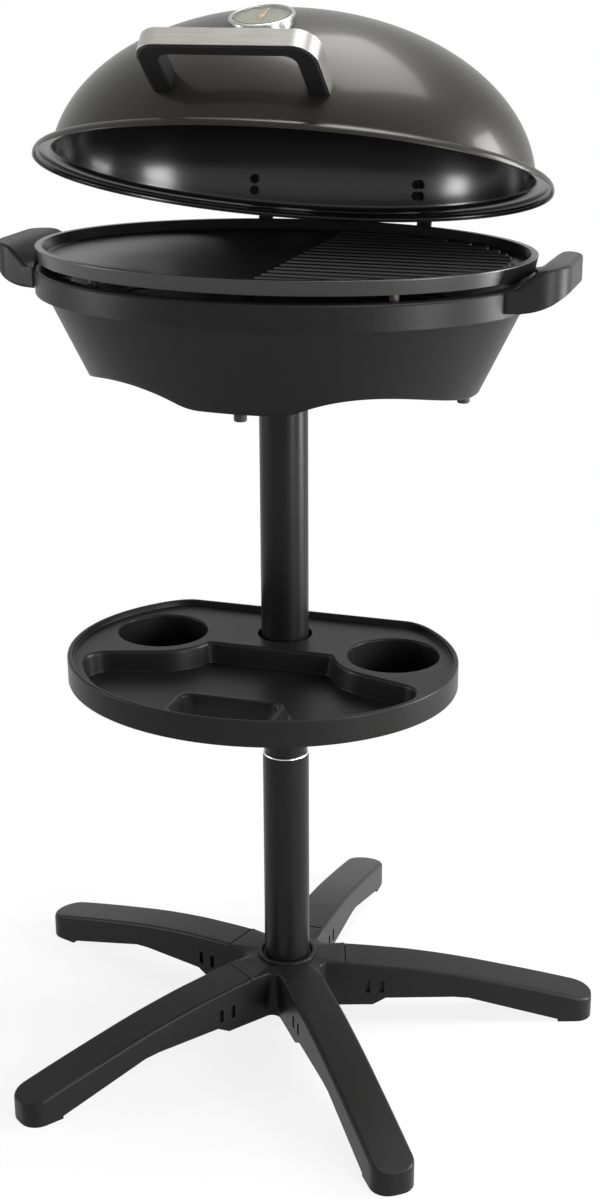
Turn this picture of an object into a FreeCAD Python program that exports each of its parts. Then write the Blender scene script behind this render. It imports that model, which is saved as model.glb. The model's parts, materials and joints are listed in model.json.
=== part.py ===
import FreeCAD, Part
import math
import os
import re

import Sketcher

# Electric barbecue grill on a floor stand, in millimetres.
# X runs to the right, the front looks along -Y, Z is up, and the origin is on the floor under the pole.
# The lid is modelled round its hinge axis and stands part open.

SIZES = {
    # floor base
    "leg_reach": 331,
    "leg_width": 42,
    "leg_root": 63,
    "leg_root_top": 75,
    "leg_root_bottom": 23.5,
    "leg_neck": 105,
    "leg_neck_top": 66.5,
    "leg_shoulder": 130,
    "leg_shoulder_top": 67.5,
    "leg_bow": 2.5,
    "leg_tip_top": 24.5,
    "leg_tip_round": 14,
    "leg_edge_round": 4,
    "leg_wall": 3,
    "foot_length": 38,
    "foot_step": 14,
    "leg_belly": 190,
    "leg_belly_bottom": 32,
    "leg_heel": 106,
    "leg_heel_bottom": 31.5,
    "leg_chin": 92,
    "leg_cavity_end": 285,
    "leg_rib_thickness": 3,
    "tongue_length": 47,
    "tongue_clearance": 0.2,
    "clip_window_first": 84,
    "clip_window_step": 15,
    "clip_window_width": 5,
    "clip_window_bottom": 38,
    "clip_window_height": 14,
    "hub_core_radius": 44,
    "hub_crown": 2,
    "hub_collar_diameter": 63,
    "hub_collar_height": 3,
    "hub_floor_thickness": 5,
    "hub_notch_round": 9,
    # pole
    "pole_diameter": 48,
    "pole_wall": 1.8,
    "pole_clearance": 0.1,
    "pole_joint_height": 305,
    "pole_swage_length": 13,
    "pole_insert_length": 60,
    # tray
    "tray_half_length": 193,
    "tray_half_depth": 168,
    "tray_forward": 74,
    "tray_back": 54,
    "tray_bottom": 425,
    "tray_height": 20,
    "tray_rim_height": 6,
    "tray_rim_width": 5,
    "tray_wall": 3,
    "tray_hole_clearance": 3,
    "tray_boss_wall": 6,
    "cup_radius": 45,
    "cup_depth": 45,
    "cup_side": 121,
    "cup_forward": 29,
    "cup_border": 9,
    "pan_drop": 21,
    "pan_rear": 46,
    "pan_border": 8,
    "grip_half_length": 47,
    "grip_rear": 164,
    "grip_front": 214,
    "grip_border": 9,
    "grip_wall_height": 14,
    "grip_skirt": 6,
    "collar_height": 20,
    "collar_wall": 9,
    "tray_screw_diameter": 6,
    "tray_screw_head_diameter": 20,
    "tray_screw_head_length": 14,
    # bowl and rim frame
    "bowl_top_half_length": 232,
    "bowl_top_half_width": 178,
    "bowl_end_draw": 41,
    "bowl_side_draw": 37,
    "bowl_height": 85,
    "bowl_bottom": 705,
    "bowl_wall": 3,
    "bowl_floor_rise": 23,
    "bowl_arch_side": 120,
    "bowl_arch_width": 142,
    "bowl_arch_height": 17,
    "bowl_arch_round": 60,
    "foot_diameter": 12,
    "foot_height": 9,
    "foot_end_inset": 13,
    "foot_side_inset": 14,
    "foot_boss_wall": 3,
    "socket_wall": 6,
    "socket_drop": 30,
    "socket_flange_diameter": 112,
    "socket_flange_thickness": 5,
    "socket_screw_circle": 88,
    "socket_screw_diameter": 4,
    "screw_head_diameter": 8,
    "screw_head_height": 2.5,
    "screw_clearance": 0.1,
    "frame_end_overhang": 11,
    "frame_side_overhang": 6,
    "frame_height": 24,
    "frame_wall": 14,
    "frame_edge_round": 3,
    "ledge_width": 18,
    "ledge_height": 6,
    "ledge_thickness": 3,
    # side handles
    "handle_length": 37,
    "handle_overlap": 8,
    "handle_root_rise": 5,
    "handle_root_height": 21,
    "handle_sweep": 16,
    "handle_tip_height": 24.5,
    "handle_tip_lean": 1,
    "handle_tip_flat": 22,
    "handle_flat_drop": 2.5,
    "handle_under_bow": 5,
    "handle_root_half_width": 80,
    "handle_tip_half_width": 50,
    "handle_tip_round": 32,
    "handle_seam": 0.3,
    "handle_screw_diameter": 4,
    "handle_screw_spread": 34,
    "handle_screw_length": 20,
    # heater
    "reflector_inset": 1,
    "reflector_sheet": 1.2,
    "reflector_depth": 48,
    "reflector_draw": 30,
    "element_diameter": 8,
    "element_drop": 8,
    "element_half_length": 175,
    "element_bend": 68,
    "element_lead_bend": 20,
    "element_lead_side": 16,
    "element_hole_clearance": 1,
    "clip_side": 110,
    "clip_width": 14,
    "clip_thickness": 3,
    "element_clearance": 0.2,
    "post_diameter": 9,
    "post_angle": 50,
    # grill plate
    "plate_end_inset": 0.5,
    "plate_side_inset": 4.5,
    "plate_gap": 6.5,
    "plate_height": 14,
    "plate_draft": 3,
    "plate_rim_width": 7,
    "plate_floor": 4,
    "plate_dish_draft": 5,
    "ridge_pitch": 18,
    "ridge_width": 7,
    "ridge_crest": 4,
    "ridge_height": 4.5,
    "ridge_start": 15,
    "ridge_margin": 16,
    # control box
    "control_half_width": 45,
    "control_rise": 17,
    "control_gap": 2,
    "control_depth": 60,
    "control_round": 8,
    "control_lead_depth": 20,
    "seat_gap": 0.1,
    "knob_rise": 30,
    "knob_diameter": 36,
    "knob_length": 15,
    "knob_skirt_diameter": 44,
    "knob_skirt_length": 3,
    "knob_gap": 0.4,
    "knob_pointer_width": 3,
    "knob_pointer_height": 1.5,
    "knob_shaft_diameter": 6,
    "knob_shaft_length": 12,
    "shaft_clearance": 0.05,
    "lens_diameter": 8,
    "lens_side": 30,
    "lens_drop": 14,
    "lens_proud": 2,
    "gland_diameter": 16,
    "gland_length": 14,
    "gland_bore": 8,
    "gland_side": 24,
    "gland_inset": 24,
    # lid and hinges
    "lid_open_angle": 20,
    "hinge_setback": 16,
    "hinge_drop": 11,
    "hinge_side": 86,
    "hinge_pin_diameter": 5,
    "hinge_pin_head": 9,
    "hinge_pin_head_length": 2,
    "bracket_ear": 5,
    "bracket_eye_diameter": 14,
    "bracket_margin": 2,
    "strap_width": 15,
    "strap_side_gap": 0.4,
    "strap_thickness": 3.5,
    "strap_eye_diameter": 11,
    "strap_over_flange": 4,
    "strap_tail": 34,
    "rivet_diameter": 5,
    "rivet_head_diameter": 9,
    "rivet_head_height": 2,
    "rivet_first": 13,
    "rivet_step": 11,
    "lid_end_overhang": 8.1,
    "lid_side_overhang": 11.1,
    "lid_flange": 17.6,
    "lid_skirt": 8,
    "lid_rest_gap": 0.3,
    "lid_sheet": 1.6,
    "lid_lip_round": 6,
    "dome_height": 144,
    "dome_edge_angle": 3,
    # lid handle
    "grip_width": 162,
    "grip_standoff": 57,
    "grip_depth": 19.5,
    "grip_bar": 14,
    "grip_leg": 19,
    "grip_corner": 21,
    "grip_inner_corner": 11,
    "grip_sheet": 1.2,
    "grip_angle": 20,
    "grip_seat_height": 44,
    "grip_seat_inset": 1.2,
    "grip_seat_sink": 20,
    "grip_screw_diameter": 5,
    "grip_screw_length": 26,
    "grip_screw_sink": 15.5,
    "grip_screw_head": 11,
    # thermometer
    "dial_forward": 118,
    "dial_sink": 1,
    "dial_tilt": 36,
    "case_diameter": 60,
    "case_rise": 7.2,
    "case_sink": 12,
    "bezel_width": 4,
    "dial_depth": 4.8,
    "dial_thickness": 0.8,
    "dial_edge_gap": 0.1,
    "glass_thickness": 1.5,
    "needle_length": 22,
    "needle_tail": 7,
    "needle_width": 2.4,
    "needle_thickness": 0.6,
    "needle_lift": 0.8,
    "needle_hub_diameter": 6,
    "needle_shaft_diameter": 1.6,
    "stem_diameter": 6,
    "stem_length": 46,
    "nut_diameter": 17,
    "nut_thickness": 5,
    # one overrun for every cut
    "overrun": 4,
}

# Sizes that follow from the ones above
DERIVED = {
    "hub_top": "leg_root_top + hub_crown",
    "hub_collar_top": "hub_top + hub_collar_height",
    "tray_deck": "tray_bottom + tray_height",
    "tray_rim_top": "tray_deck + tray_rim_height",
    "pan_floor": "tray_deck - pan_drop",
    "grip_top": "pan_floor + grip_wall_height",
    "bowl_bottom_half_length": "bowl_top_half_length - bowl_end_draw",
    "bowl_bottom_half_width": "bowl_top_half_width - bowl_side_draw",
    "bowl_floor": "bowl_bottom + bowl_floor_rise",
    "foot_side": "bowl_bottom_half_length - foot_end_inset",
    "foot_front": "bowl_bottom_half_width - foot_side_inset",
    "frame_half_length": "bowl_top_half_length + frame_end_overhang",
    "frame_half_width": "bowl_top_half_width + frame_side_overhang",
    "frame_bottom": "bowl_bottom + bowl_height",
    "frame_top": "frame_bottom + frame_height",
    "handle_root": "frame_half_length - handle_overlap",
    "handle_reach": "frame_half_length + handle_length",
    "handle_root_bottom": "frame_bottom + handle_root_rise",
    "handle_root_top": "handle_root_bottom + handle_root_height",
    "handle_tip_bottom": "handle_root_bottom + handle_sweep",
    "handle_tip_top": "handle_tip_bottom + handle_tip_height",
    "element_height": "frame_bottom - element_drop",
    "plate_half_length": "frame_half_length - plate_end_inset",
    "plate_half_width": "frame_half_width - plate_side_inset",
    "control_bottom": "bowl_bottom + control_rise",
    "control_top": "frame_bottom - control_gap",
    "control_back": "bowl_top_half_width + control_depth",
    "knob_height": "control_bottom + knob_rise",
    "lens_height": "control_top - lens_drop",
    "gland_back": "control_back - gland_inset",
    "hinge_back": "frame_half_width + hinge_setback",
    "hinge_height": "frame_top - hinge_drop",
    "bracket_bottom": "frame_bottom + bracket_margin",
    "bracket_top": "frame_top - bracket_margin",
    "lid_half_length": "plate_half_length + lid_end_overhang",
    "lid_half_width": "plate_half_width + lid_side_overhang",
}
FULL_TURN = 360
QUARTER_TURN = 90
LEG_NAMES = ("leg_back", "leg_left_rear", "leg_left_front", "leg_right_front", "leg_right_rear")
LEG_ANGLES = {name: QUARTER_TURN + FULL_TURN / len(LEG_NAMES) * index for index, name in enumerate(LEG_NAMES)}
V = FreeCAD.Vector
AXES = {"x": V(1, 0, 0), "y": V(0, 1, 0), "z": V(0, 0, 1)}

doc = FreeCAD.newDocument("electric_barbecue_grill")
sheet = doc.addObject("Spreadsheet::Sheet", "sizes")
for row, (alias, number) in enumerate(SIZES.items(), start=1):
    sheet.set(f"A{row}", alias)
    sheet.set(f"B{row}", str(number))
    sheet.setAlias(f"B{row}", alias)
doc.recompute()
nodes = []


# Ways to write a size: words are cells of the sheet

def linked(expression):
    """An expression with each word turned into its cell of the sheet, or into the sum that it stands for."""
    def reference(word):
        name = word[0]
        if name in DERIVED:
            return f"({linked(DERIVED[name])})"
        return f"sizes.{name}" if name in SIZES else name

    return re.sub(r"[a-z_][a-z_0-9]*", reference, expression)


def size(expression):
    """The present value of an expression."""
    return float(sheet.evalExpression(linked(expression)))


def bind(thing, **expressions):
    for name, expression in expressions.items():
        thing.setExpression(name, linked(expression))
    return thing


def put(thing, x="0", y="0", z="0", turn=None):
    """Place a thing; turn is an axis and an angle expression."""
    if turn:
        axis, angle = turn
        thing.Placement = FreeCAD.Placement(V(), FreeCAD.Rotation(V(*axis), size(angle)))
        thing.setExpression("Placement.Rotation.Angle", linked(angle))
    for letter, expression in zip("xyz", (x, y, z)):
        thing.setExpression(f"Placement.Base.{letter}", linked(expression))
    return thing


# Solids that the pieces are made of

def cylinder(name, radius, height, x="0", y="0", z="0", along="z", back=False):
    """A round bar that starts at a point and runs along an axis, or back along it."""
    thing = bind(doc.addObject("Part::Cylinder", name), Radius=radius, Height=height)
    put(thing, x, y, z)
    direction = AXES[along] * (-1 if back else 1)
    thing.Placement.Rotation = FreeCAD.Rotation(AXES["z"], direction)
    return thing


def block(name, x_low, x_high, y_low, y_high, z_low, z_high):
    thing = doc.addObject("Part::Box", name)
    bind(
        thing,
        Length=f"({x_high}) - ({x_low})",
        Width=f"({y_high}) - ({y_low})",
        Height=f"({z_high}) - ({z_low})",
    )
    return put(thing, x_low, y_low, z_low)


def oval(name, half_length, half_width, z="0", y="0"):
    thing = doc.addObject("Part::Ellipse", name)
    bind(thing, MajorRadius=half_length, MinorRadius=half_width)
    return put(thing, y=y, z=z)


def oval_prism(name, half_length, half_width, z_low, z_high, y="0"):
    thing = doc.addObject("Part::Extrusion", name)
    thing.Base = oval(f"{name}_outline", half_length, half_width, z_low, y)
    thing.DirMode = "Custom"
    thing.Dir = AXES["z"]
    thing.Solid = True
    return bind(thing, LengthFwd=f"({z_high}) - ({z_low})")


def oval_cone(name, low, high):
    """A ruled loft between two ovals, each given as half length, half width and height."""
    thing = doc.addObject("Part::Loft", name)
    thing.Sections = [oval(f"{name}_low", *low), oval(f"{name}_high", *high)]
    thing.Solid = True
    thing.Ruled = True
    return thing


def joined(name, *things):
    thing = doc.addObject("Part::MultiFuse", name)
    thing.Shapes = list(things)
    return thing


def group(name, *things):
    thing = doc.addObject("Part::Compound", name)
    thing.Links = list(things)
    return thing


def cut(name, base, *tools):
    thing = doc.addObject("Part::Cut", name)
    thing.Base = base
    thing.Tool = tools[0] if len(tools) == 1 else group(f"{name}_tools", *tools)
    return thing


def shared(name, base, tool):
    thing = doc.addObject("Part::Common", name)
    thing.Base = base
    thing.Tool = tool
    return thing


def profile(name, plane, corners):
    """A closed sketch outline; a third value on a corner bows the side that follows it outwards."""
    sketch = doc.addObject("Sketcher::SketchObject", name)
    sketch.Placement = plane
    points = [V(size(corner[0]), size(corner[1]), 0) for corner in corners]
    count = len(corners)
    for index, corner in enumerate(corners):
        start = points[index]
        end = points[(index + 1) % count]
        if len(corner) == 2:
            sketch.addGeometry(Part.LineSegment(start, end))
            continue
        across = end - start
        outward = V(across.y, -across.x, 0).normalize()
        middle = (start + end) * 0.5 + outward * size(corner[2])
        sketch.addGeometry(Part.Arc(start, middle, end))
        following = corners[(index + 1) % count]
        chord = f"((({following[0]}) - ({corner[0]}))^2 + (({following[1]}) - ({corner[1]}))^2)"
        radius = f"{chord} / (8 * ({corner[2]})) + ({corner[2]}) / 2"
        row = sketch.addConstraint(Sketcher.Constraint("Radius", index, size(radius)))
        sketch.setExpression(f"Constraints[{row}]", linked(radius))
    for index, corner in enumerate(corners):
        sketch.addConstraint(Sketcher.Constraint("Coincident", index, 2, (index + 1) % count, 1))
        for kind, expression in zip(("DistanceX", "DistanceY"), corner):
            row = sketch.addConstraint(Sketcher.Constraint(kind, -1, 1, index, 1, size(expression)))
            sketch.setExpression(f"Constraints[{row}]", linked(expression))
    return sketch


FLOOR_PLANE = FreeCAD.Placement()
FRONT_PLANE = FreeCAD.Placement(V(), FreeCAD.Rotation(AXES["x"], QUARTER_TURN))
SIDE_PLANE = FreeCAD.Placement(V(), FreeCAD.Rotation(AXES["y"], AXES["z"], AXES["x"], "XZY"))


def extruded(name, outline, along, length, both_ways=False):
    thing = doc.addObject("Part::Extrusion", name)
    thing.Base = outline
    thing.DirMode = "Custom"
    thing.Dir = AXES[along]
    thing.Solid = True
    thing.Symmetric = both_ways
    return bind(thing, LengthFwd=length)


def turned(name, outline):
    thing = doc.addObject("Part::Revolution", name)
    thing.Source = outline
    thing.Axis = AXES["z"]
    thing.Angle = FULL_TURN
    thing.Solid = True
    return thing


def rounded(name, base, radius, picked):
    """Fillets on the edges of a solid that a test picks."""
    doc.recompute()
    thing = doc.addObject("Part::Fillet", name)
    thing.Base = base
    value = size(radius)
    thing.Edges = [(row, value, value) for row, edge in enumerate(base.Shape.Edges, 1) if picked(edge)]
    return thing


def straight_along(edge, axis):
    return edge.Curve.TypeId == "Part::GeomLine" and abs(edge.Curve.Direction.dot(AXES[axis])) > 0.999


def level_at(edge, height):
    box = edge.BoundBox
    slack = size("seat_gap")
    return abs(box.ZMin - size(height)) < slack and abs(box.ZMax - size(height)) < slack


def node(thing, name):
    """Marks a finished piece; its label names its file."""
    thing.Label = name
    nodes.append(thing)
    return thing


# Base hub: collar round the pole, five stubs, and tongues that reach into the legs

pole_radius = "pole_diameter / 2"
tongue_half_width = "(leg_width / 2 - leg_wall - tongue_clearance)"
tongue_bottom = "(leg_heel_bottom + leg_wall)"
tongue_top = "(leg_neck_top - 2 * leg_wall)"
hub_stub = block(
    "hub_stub", "0", "leg_root", "-leg_width / 2", "leg_width / 2", "leg_root_bottom", "leg_root_top"
)
hub_tongue = block(
    "hub_tongue", "leg_root / 2", "leg_root + tongue_length", f"-{tongue_half_width}", tongue_half_width,
    f"{tongue_bottom} + tongue_clearance", f"{tongue_top} - tongue_clearance",
)
hub_arm = joined("hub_arm", hub_stub, hub_tongue)
hub_arms = []
for leg_name, leg_angle in LEG_ANGLES.items():
    arm = group(f"hub_arm_for_{leg_name}", hub_arm)
    arm.Placement.Rotation = FreeCAD.Rotation(AXES["z"], leg_angle)
    hub_arms.append(arm)
hub_core = cylinder("hub_core", "hub_core_radius", "hub_top - leg_root_bottom", z="leg_root_bottom")
hub_collar = cylinder(
    "hub_collar", "hub_collar_diameter / 2", "hub_collar_top - leg_root_bottom", z="leg_root_bottom"
)
hub_star = joined("hub_star", hub_core, hub_collar, *hub_arms)


def hub_notch_corner(edge):
    away = math.hypot(edge.BoundBox.Center.x, edge.BoundBox.Center.y)
    return straight_along(edge, "z") and abs(away - size("hub_core_radius")) < size("seat_gap")


hub_soft = rounded("hub_soft", hub_star, "hub_notch_round", hub_notch_corner)
hub_floor = "(leg_root_bottom + hub_floor_thickness)"
hub_bore = cylinder("hub_bore", f"{pole_radius} + pole_clearance", "hub_collar_top", z=hub_floor)
node(cut("hub", hub_soft, hub_bore), "base_hub")


# Legs: hollow moulded arms with a socket for the tongue, clip windows and a stepped foot

leg_outline = profile("leg_outline", FRONT_PLANE, [
    ("leg_root", "leg_root_bottom"),
    ("leg_chin", "leg_root_bottom"),
    ("leg_heel", "leg_heel_bottom"),
    ("leg_belly", "leg_belly_bottom"),
    ("leg_reach - foot_length", "foot_step"),
    ("leg_reach - foot_length", "0"),
    ("leg_reach", "0"),
    ("leg_reach", "leg_tip_top", "leg_bow"),
    ("leg_shoulder", "leg_shoulder_top"),
    ("leg_neck", "leg_neck_top"),
    ("leg_root", "leg_root_top"),
])
leg_bar = extruded("leg_bar", leg_outline, "y", "leg_width", both_ways=True)


def leg_tip_corner(edge):
    return straight_along(edge, "z") and edge.BoundBox.XMin > size("leg_reach - foot_length / 2")


def leg_upper_edge(edge):
    on_side = abs(abs(edge.BoundBox.Center.y) - size("leg_width / 2")) < size("seat_gap")
    middle = edge.CenterOfMass
    drop = size("(leg_shoulder_top - leg_tip_top) / (leg_reach - leg_shoulder)")
    line = size("leg_shoulder_top") - drop * (middle.x - size("leg_shoulder"))
    long_enough = edge.BoundBox.XLength > size("leg_edge_round")
    return on_side and long_enough and middle.z > line - size("leg_wall")


leg_rounded_tip = rounded("leg_rounded_tip", leg_bar, "leg_tip_round", leg_tip_corner)
leg_skin = rounded("leg_skin", leg_rounded_tip, "leg_edge_round", leg_upper_edge)
leg_socket = block(
    "leg_socket", "leg_root - overrun", "leg_root + tongue_length + tongue_clearance",
    f"-{tongue_half_width} - tongue_clearance", f"{tongue_half_width} + tongue_clearance",
    tongue_bottom, tongue_top,
)
cavity_start = "(leg_root + tongue_length + leg_wall * 2)"
cavity_drop = "(leg_shoulder_top - leg_tip_top) / (leg_reach - leg_shoulder)"
leg_cavity_outline = profile("leg_cavity_outline", FRONT_PLANE, [
    (cavity_start, "0"),
    ("leg_cavity_end", "0"),
    ("leg_cavity_end", f"leg_shoulder_top - 2 * leg_wall - (leg_cavity_end - leg_shoulder) * {cavity_drop}"),
    (cavity_start, f"leg_shoulder_top - 2 * leg_wall - ({cavity_start} - leg_shoulder) * {cavity_drop}"),
])
leg_cavity = extruded("leg_cavity", leg_cavity_outline, "y", "leg_width - 2 * leg_wall", both_ways=True)
leg_rib = block(
    "leg_rib", "leg_belly - leg_rib_thickness / 2", "leg_belly + leg_rib_thickness / 2",
    "-leg_width / 2", "leg_width / 2", "0", "leg_shoulder_top",
)
leg_hollow = cut("leg_hollow", leg_cavity, leg_rib)
clip_windows = [
    block(
        f"clip_window_{index}",
        f"clip_window_first + {index} * clip_window_step",
        f"clip_window_first + {index} * clip_window_step + clip_window_width",
        "-leg_width", "leg_width", "clip_window_bottom", "clip_window_bottom + clip_window_height",
    )
    for index in range(2)
]
leg_form = cut("leg_form", leg_skin, leg_socket, leg_hollow, *clip_windows)
for leg_name, leg_angle in LEG_ANGLES.items():
    leg = group(f"{leg_name}_placed", leg_form)
    leg.Placement.Rotation = FreeCAD.Rotation(AXES["z"], leg_angle)
    node(leg, leg_name)


# Pole: the lower tube stands in the hub, the upper one is swaged to slide into it

lower_outer = cylinder("lower_outer", pole_radius, f"pole_joint_height - {hub_floor}", z=hub_floor)
lower_inner = cylinder("lower_inner", f"{pole_radius} - pole_wall", "pole_joint_height", z="0")
node(cut("lower_tube", lower_outer, lower_inner), "lower_pole")
insert_radius = f"({pole_radius} - pole_wall - pole_clearance)"
swage_top = "(pole_joint_height + pole_swage_length)"
upper_outline = profile("upper_outline", FRONT_PLANE, [
    (f"{insert_radius} - pole_wall", "pole_joint_height - pole_insert_length"),
    (insert_radius, "pole_joint_height - pole_insert_length"),
    (insert_radius, "pole_joint_height"),
    (pole_radius, swage_top),
    (pole_radius, "bowl_floor"),
    (f"{pole_radius} - pole_wall", "bowl_floor"),
    (f"{pole_radius} - pole_wall", swage_top),
    (f"{insert_radius} - pole_wall", "pole_joint_height"),
])
node(turned("upper_tube", upper_outline), "upper_pole")


# Tray: moulded deck with a skirt, two cup holders, a sunk pan and a grip slot

tray_y = "-tray_forward"
tray_cut_back = block(
    "tray_cut_back", "-tray_half_length", "tray_half_length", "tray_back", "tray_back + tray_half_depth",
    "tray_bottom - cup_depth", "tray_rim_top + overrun",
)
tray_oval = oval_prism("tray_oval", "tray_half_length", "tray_half_depth", "tray_bottom", "tray_rim_top", tray_y)
tray_outer = cut("tray_outer", tray_oval, tray_cut_back)


def tray_shrunk(name, inset, z_low, z_high):
    """The tray's plan drawn in by an inset, as a prism."""
    plan = oval_prism(
        f"{name}_oval", f"tray_half_length - {inset}", f"tray_half_depth - {inset}", z_low, z_high, tray_y
    )
    behind = block(
        f"{name}_behind", "-tray_half_length", "tray_half_length", f"tray_back - {inset}",
        "tray_back + tray_half_depth", f"{z_low} - overrun", f"{z_high} + overrun",
    )
    return cut(name, plan, behind)


tray_under = tray_shrunk("tray_under", "tray_wall", "tray_bottom - overrun", "tray_deck - tray_wall")
tray_over = tray_shrunk("tray_over", "tray_rim_width", "tray_deck", "tray_rim_top + overrun")
tray_shell = cut("tray_shell", tray_outer, tray_under, tray_over)


def pan_prism(name, inset, z_low, z_high):
    """The sunk pan's plan: the tray's front, bitten into by the two cup borders."""
    plan = oval_prism(
        f"{name}_oval", f"tray_half_length - pan_border - {inset}",
        f"tray_half_depth - pan_border - {inset}", z_low, z_high, tray_y,
    )
    behind = block(
        f"{name}_behind", "-tray_half_length", "tray_half_length", f"-pan_rear - {inset}",
        "tray_half_depth", f"{z_low} - overrun", f"{z_high} + overrun",
    )
    bites = [
        cylinder(
            f"{name}_bite_{side}", f"cup_radius + cup_border + {inset}", f"{z_high} - ({z_low}) + 2 * overrun",
            x=f"{sign}cup_side", y="-cup_forward", z=f"{z_low} - overrun",
        )
        for side, sign in (("left", "-"), ("right", ""))
    ]
    return cut(name, plan, behind, *bites)


pan_body = pan_prism("pan_body", "0", "pan_floor - tray_wall", "tray_deck")
pan_space = pan_prism("pan_space", "tray_wall", "pan_floor", "tray_rim_top")
cup_bodies = []
cup_spaces = []
for side, sign in (("left", "-"), ("right", "")):
    cup_bodies.append(cylinder(
        f"cup_body_{side}", "cup_radius + tray_wall", "cup_depth + tray_wall",
        x=f"{sign}cup_side", y="-cup_forward", z="tray_deck - cup_depth - tray_wall",
    ))
    cup_spaces.append(cylinder(
        f"cup_space_{side}", "cup_radius", "cup_depth + overrun",
        x=f"{sign}cup_side", y="-cup_forward", z="tray_deck - cup_depth",
    ))
hole_radius = f"({pole_radius} + tray_hole_clearance)"
tray_boss = cylinder("tray_boss", f"{hole_radius} + tray_boss_wall", "tray_deck - tray_bottom", z="tray_bottom")
grip_wall = block(
    "grip_wall", "-grip_half_length - grip_border", "grip_half_length + grip_border",
    "-grip_front - grip_border", "-grip_rear + grip_border", "pan_floor - tray_wall", "grip_top",
)
grip_inside = shared("grip_inside", grip_wall, oval_prism(
    "grip_limit", "tray_half_length - tray_wall", "tray_half_depth - tray_wall",
    "pan_floor - tray_wall", "tray_deck", tray_y,
))
grip_skirt_wall = block(
    "grip_skirt_wall", "-grip_half_length - tray_wall", "grip_half_length + tray_wall",
    "-grip_front - tray_wall", "-grip_rear + tray_wall", "pan_floor - tray_wall - grip_skirt", "pan_floor",
)
grip_slot = block(
    "grip_slot", "-grip_half_length", "grip_half_length", "-grip_front", "-grip_rear",
    "pan_floor - tray_wall - grip_skirt - overrun", "tray_rim_top",
)
pole_hole = cylinder("pole_hole", hole_radius, "tray_rim_top - tray_bottom + overrun", z="tray_bottom - overrun")
tray_solid = joined("tray_solid", tray_shell, pan_body, tray_boss, *cup_bodies)
tray_sunk = cut("tray_sunk", tray_solid, pan_space, *cup_spaces)
tray_gripped = joined("tray_gripped", tray_sunk, grip_inside, grip_skirt_wall)
node(cut("tray_moulding", tray_gripped, grip_slot, pole_hole), "tray")


# Tray collar: a ring on the pole under the tray, held by a thumb screw at the back

collar_bottom = "(tray_bottom - collar_height)"
collar_ring = cylinder("collar_ring", f"{pole_radius} + collar_wall", "collar_height", z=collar_bottom)
collar_bore = cylinder(
    "collar_bore", f"{pole_radius} + pole_clearance", "collar_height + 2 * overrun", z=f"{collar_bottom} - overrun"
)
screw_height = f"({collar_bottom} + collar_height / 2)"
collar_thread = cylinder(
    "collar_thread", "tray_screw_diameter / 2 + screw_clearance", "pole_diameter", z=screw_height, along="y"
)
node(cut("collar", collar_ring, collar_bore, collar_thread), "tray_collar")
tray_screw_shank = cylinder(
    "tray_screw_shank", "tray_screw_diameter / 2", "collar_wall + tray_screw_head_length / 2",
    y=f"{pole_radius} + pole_clearance", z=screw_height, along="y",
)
tray_screw_head = cylinder(
    "tray_screw_head", "tray_screw_head_diameter / 2", "tray_screw_head_length",
    y=f"{pole_radius} + collar_wall + tray_screw_head_length / 4", z=screw_height, along="y",
)
node(joined("tray_thumb_screw", tray_screw_shank, tray_screw_head), "tray_screw")


# Bowl housing: oval cone with an inner floor and four scallops in its lower edge

bowl_outer = oval_cone(
    "bowl_outer",
    ("bowl_bottom_half_length", "bowl_bottom_half_width", "bowl_bottom"),
    ("bowl_top_half_length", "bowl_top_half_width", "frame_bottom"),
)
bowl_inner = oval_cone(
    "bowl_inner",
    ("bowl_bottom_half_length - bowl_wall", "bowl_bottom_half_width - bowl_wall", "bowl_bottom"),
    ("bowl_top_half_length - bowl_wall", "bowl_top_half_width - bowl_wall", "frame_bottom"),
)
floor_slab = block(
    "floor_slab", "-bowl_top_half_length", "bowl_top_half_length", "-bowl_top_half_width",
    "bowl_top_half_width", "bowl_floor", "bowl_floor + bowl_wall",
)
bowl_floor_plate = shared("bowl_floor_plate", bowl_outer, floor_slab)
foot_places = {
    "front": ("0", "-foot_front"),
    "back": ("0", "foot_front"),
    "left": ("-foot_side", "0"),
    "right": ("foot_side", "0"),
}
foot_bosses = [
    cylinder(
        f"foot_boss_{side}", "foot_diameter / 2 + foot_boss_wall", "bowl_floor - bowl_bottom",
        x=x, y=y, z="bowl_bottom",
    )
    for side, (x, y) in foot_places.items()
]
arch_radius = "(bowl_arch_width^2 / 4 + bowl_arch_height^2) / (2 * bowl_arch_height)"
bowl_arches = [
    cylinder(
        f"bowl_arch_{side}", arch_radius, "4 * bowl_top_half_width", x=f"{sign}bowl_arch_side",
        y="-2 * bowl_top_half_width", z=f"bowl_bottom + bowl_arch_height - {arch_radius}", along="y",
    )
    for side, sign in (("left", "-"), ("right", ""))
]
bowl_scalloped = cut("bowl_scalloped", bowl_outer, *bowl_arches)
arch_start = size("bowl_arch_side - bowl_arch_width / 2")


def at_arch_start(edge):
    """Whether an edge runs from front to back where a scallop meets the flat middle."""
    box = edge.BoundBox
    return box.XLength < size("seat_gap") and abs(abs(box.Center.x) - arch_start) < size("seat_gap")


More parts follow.
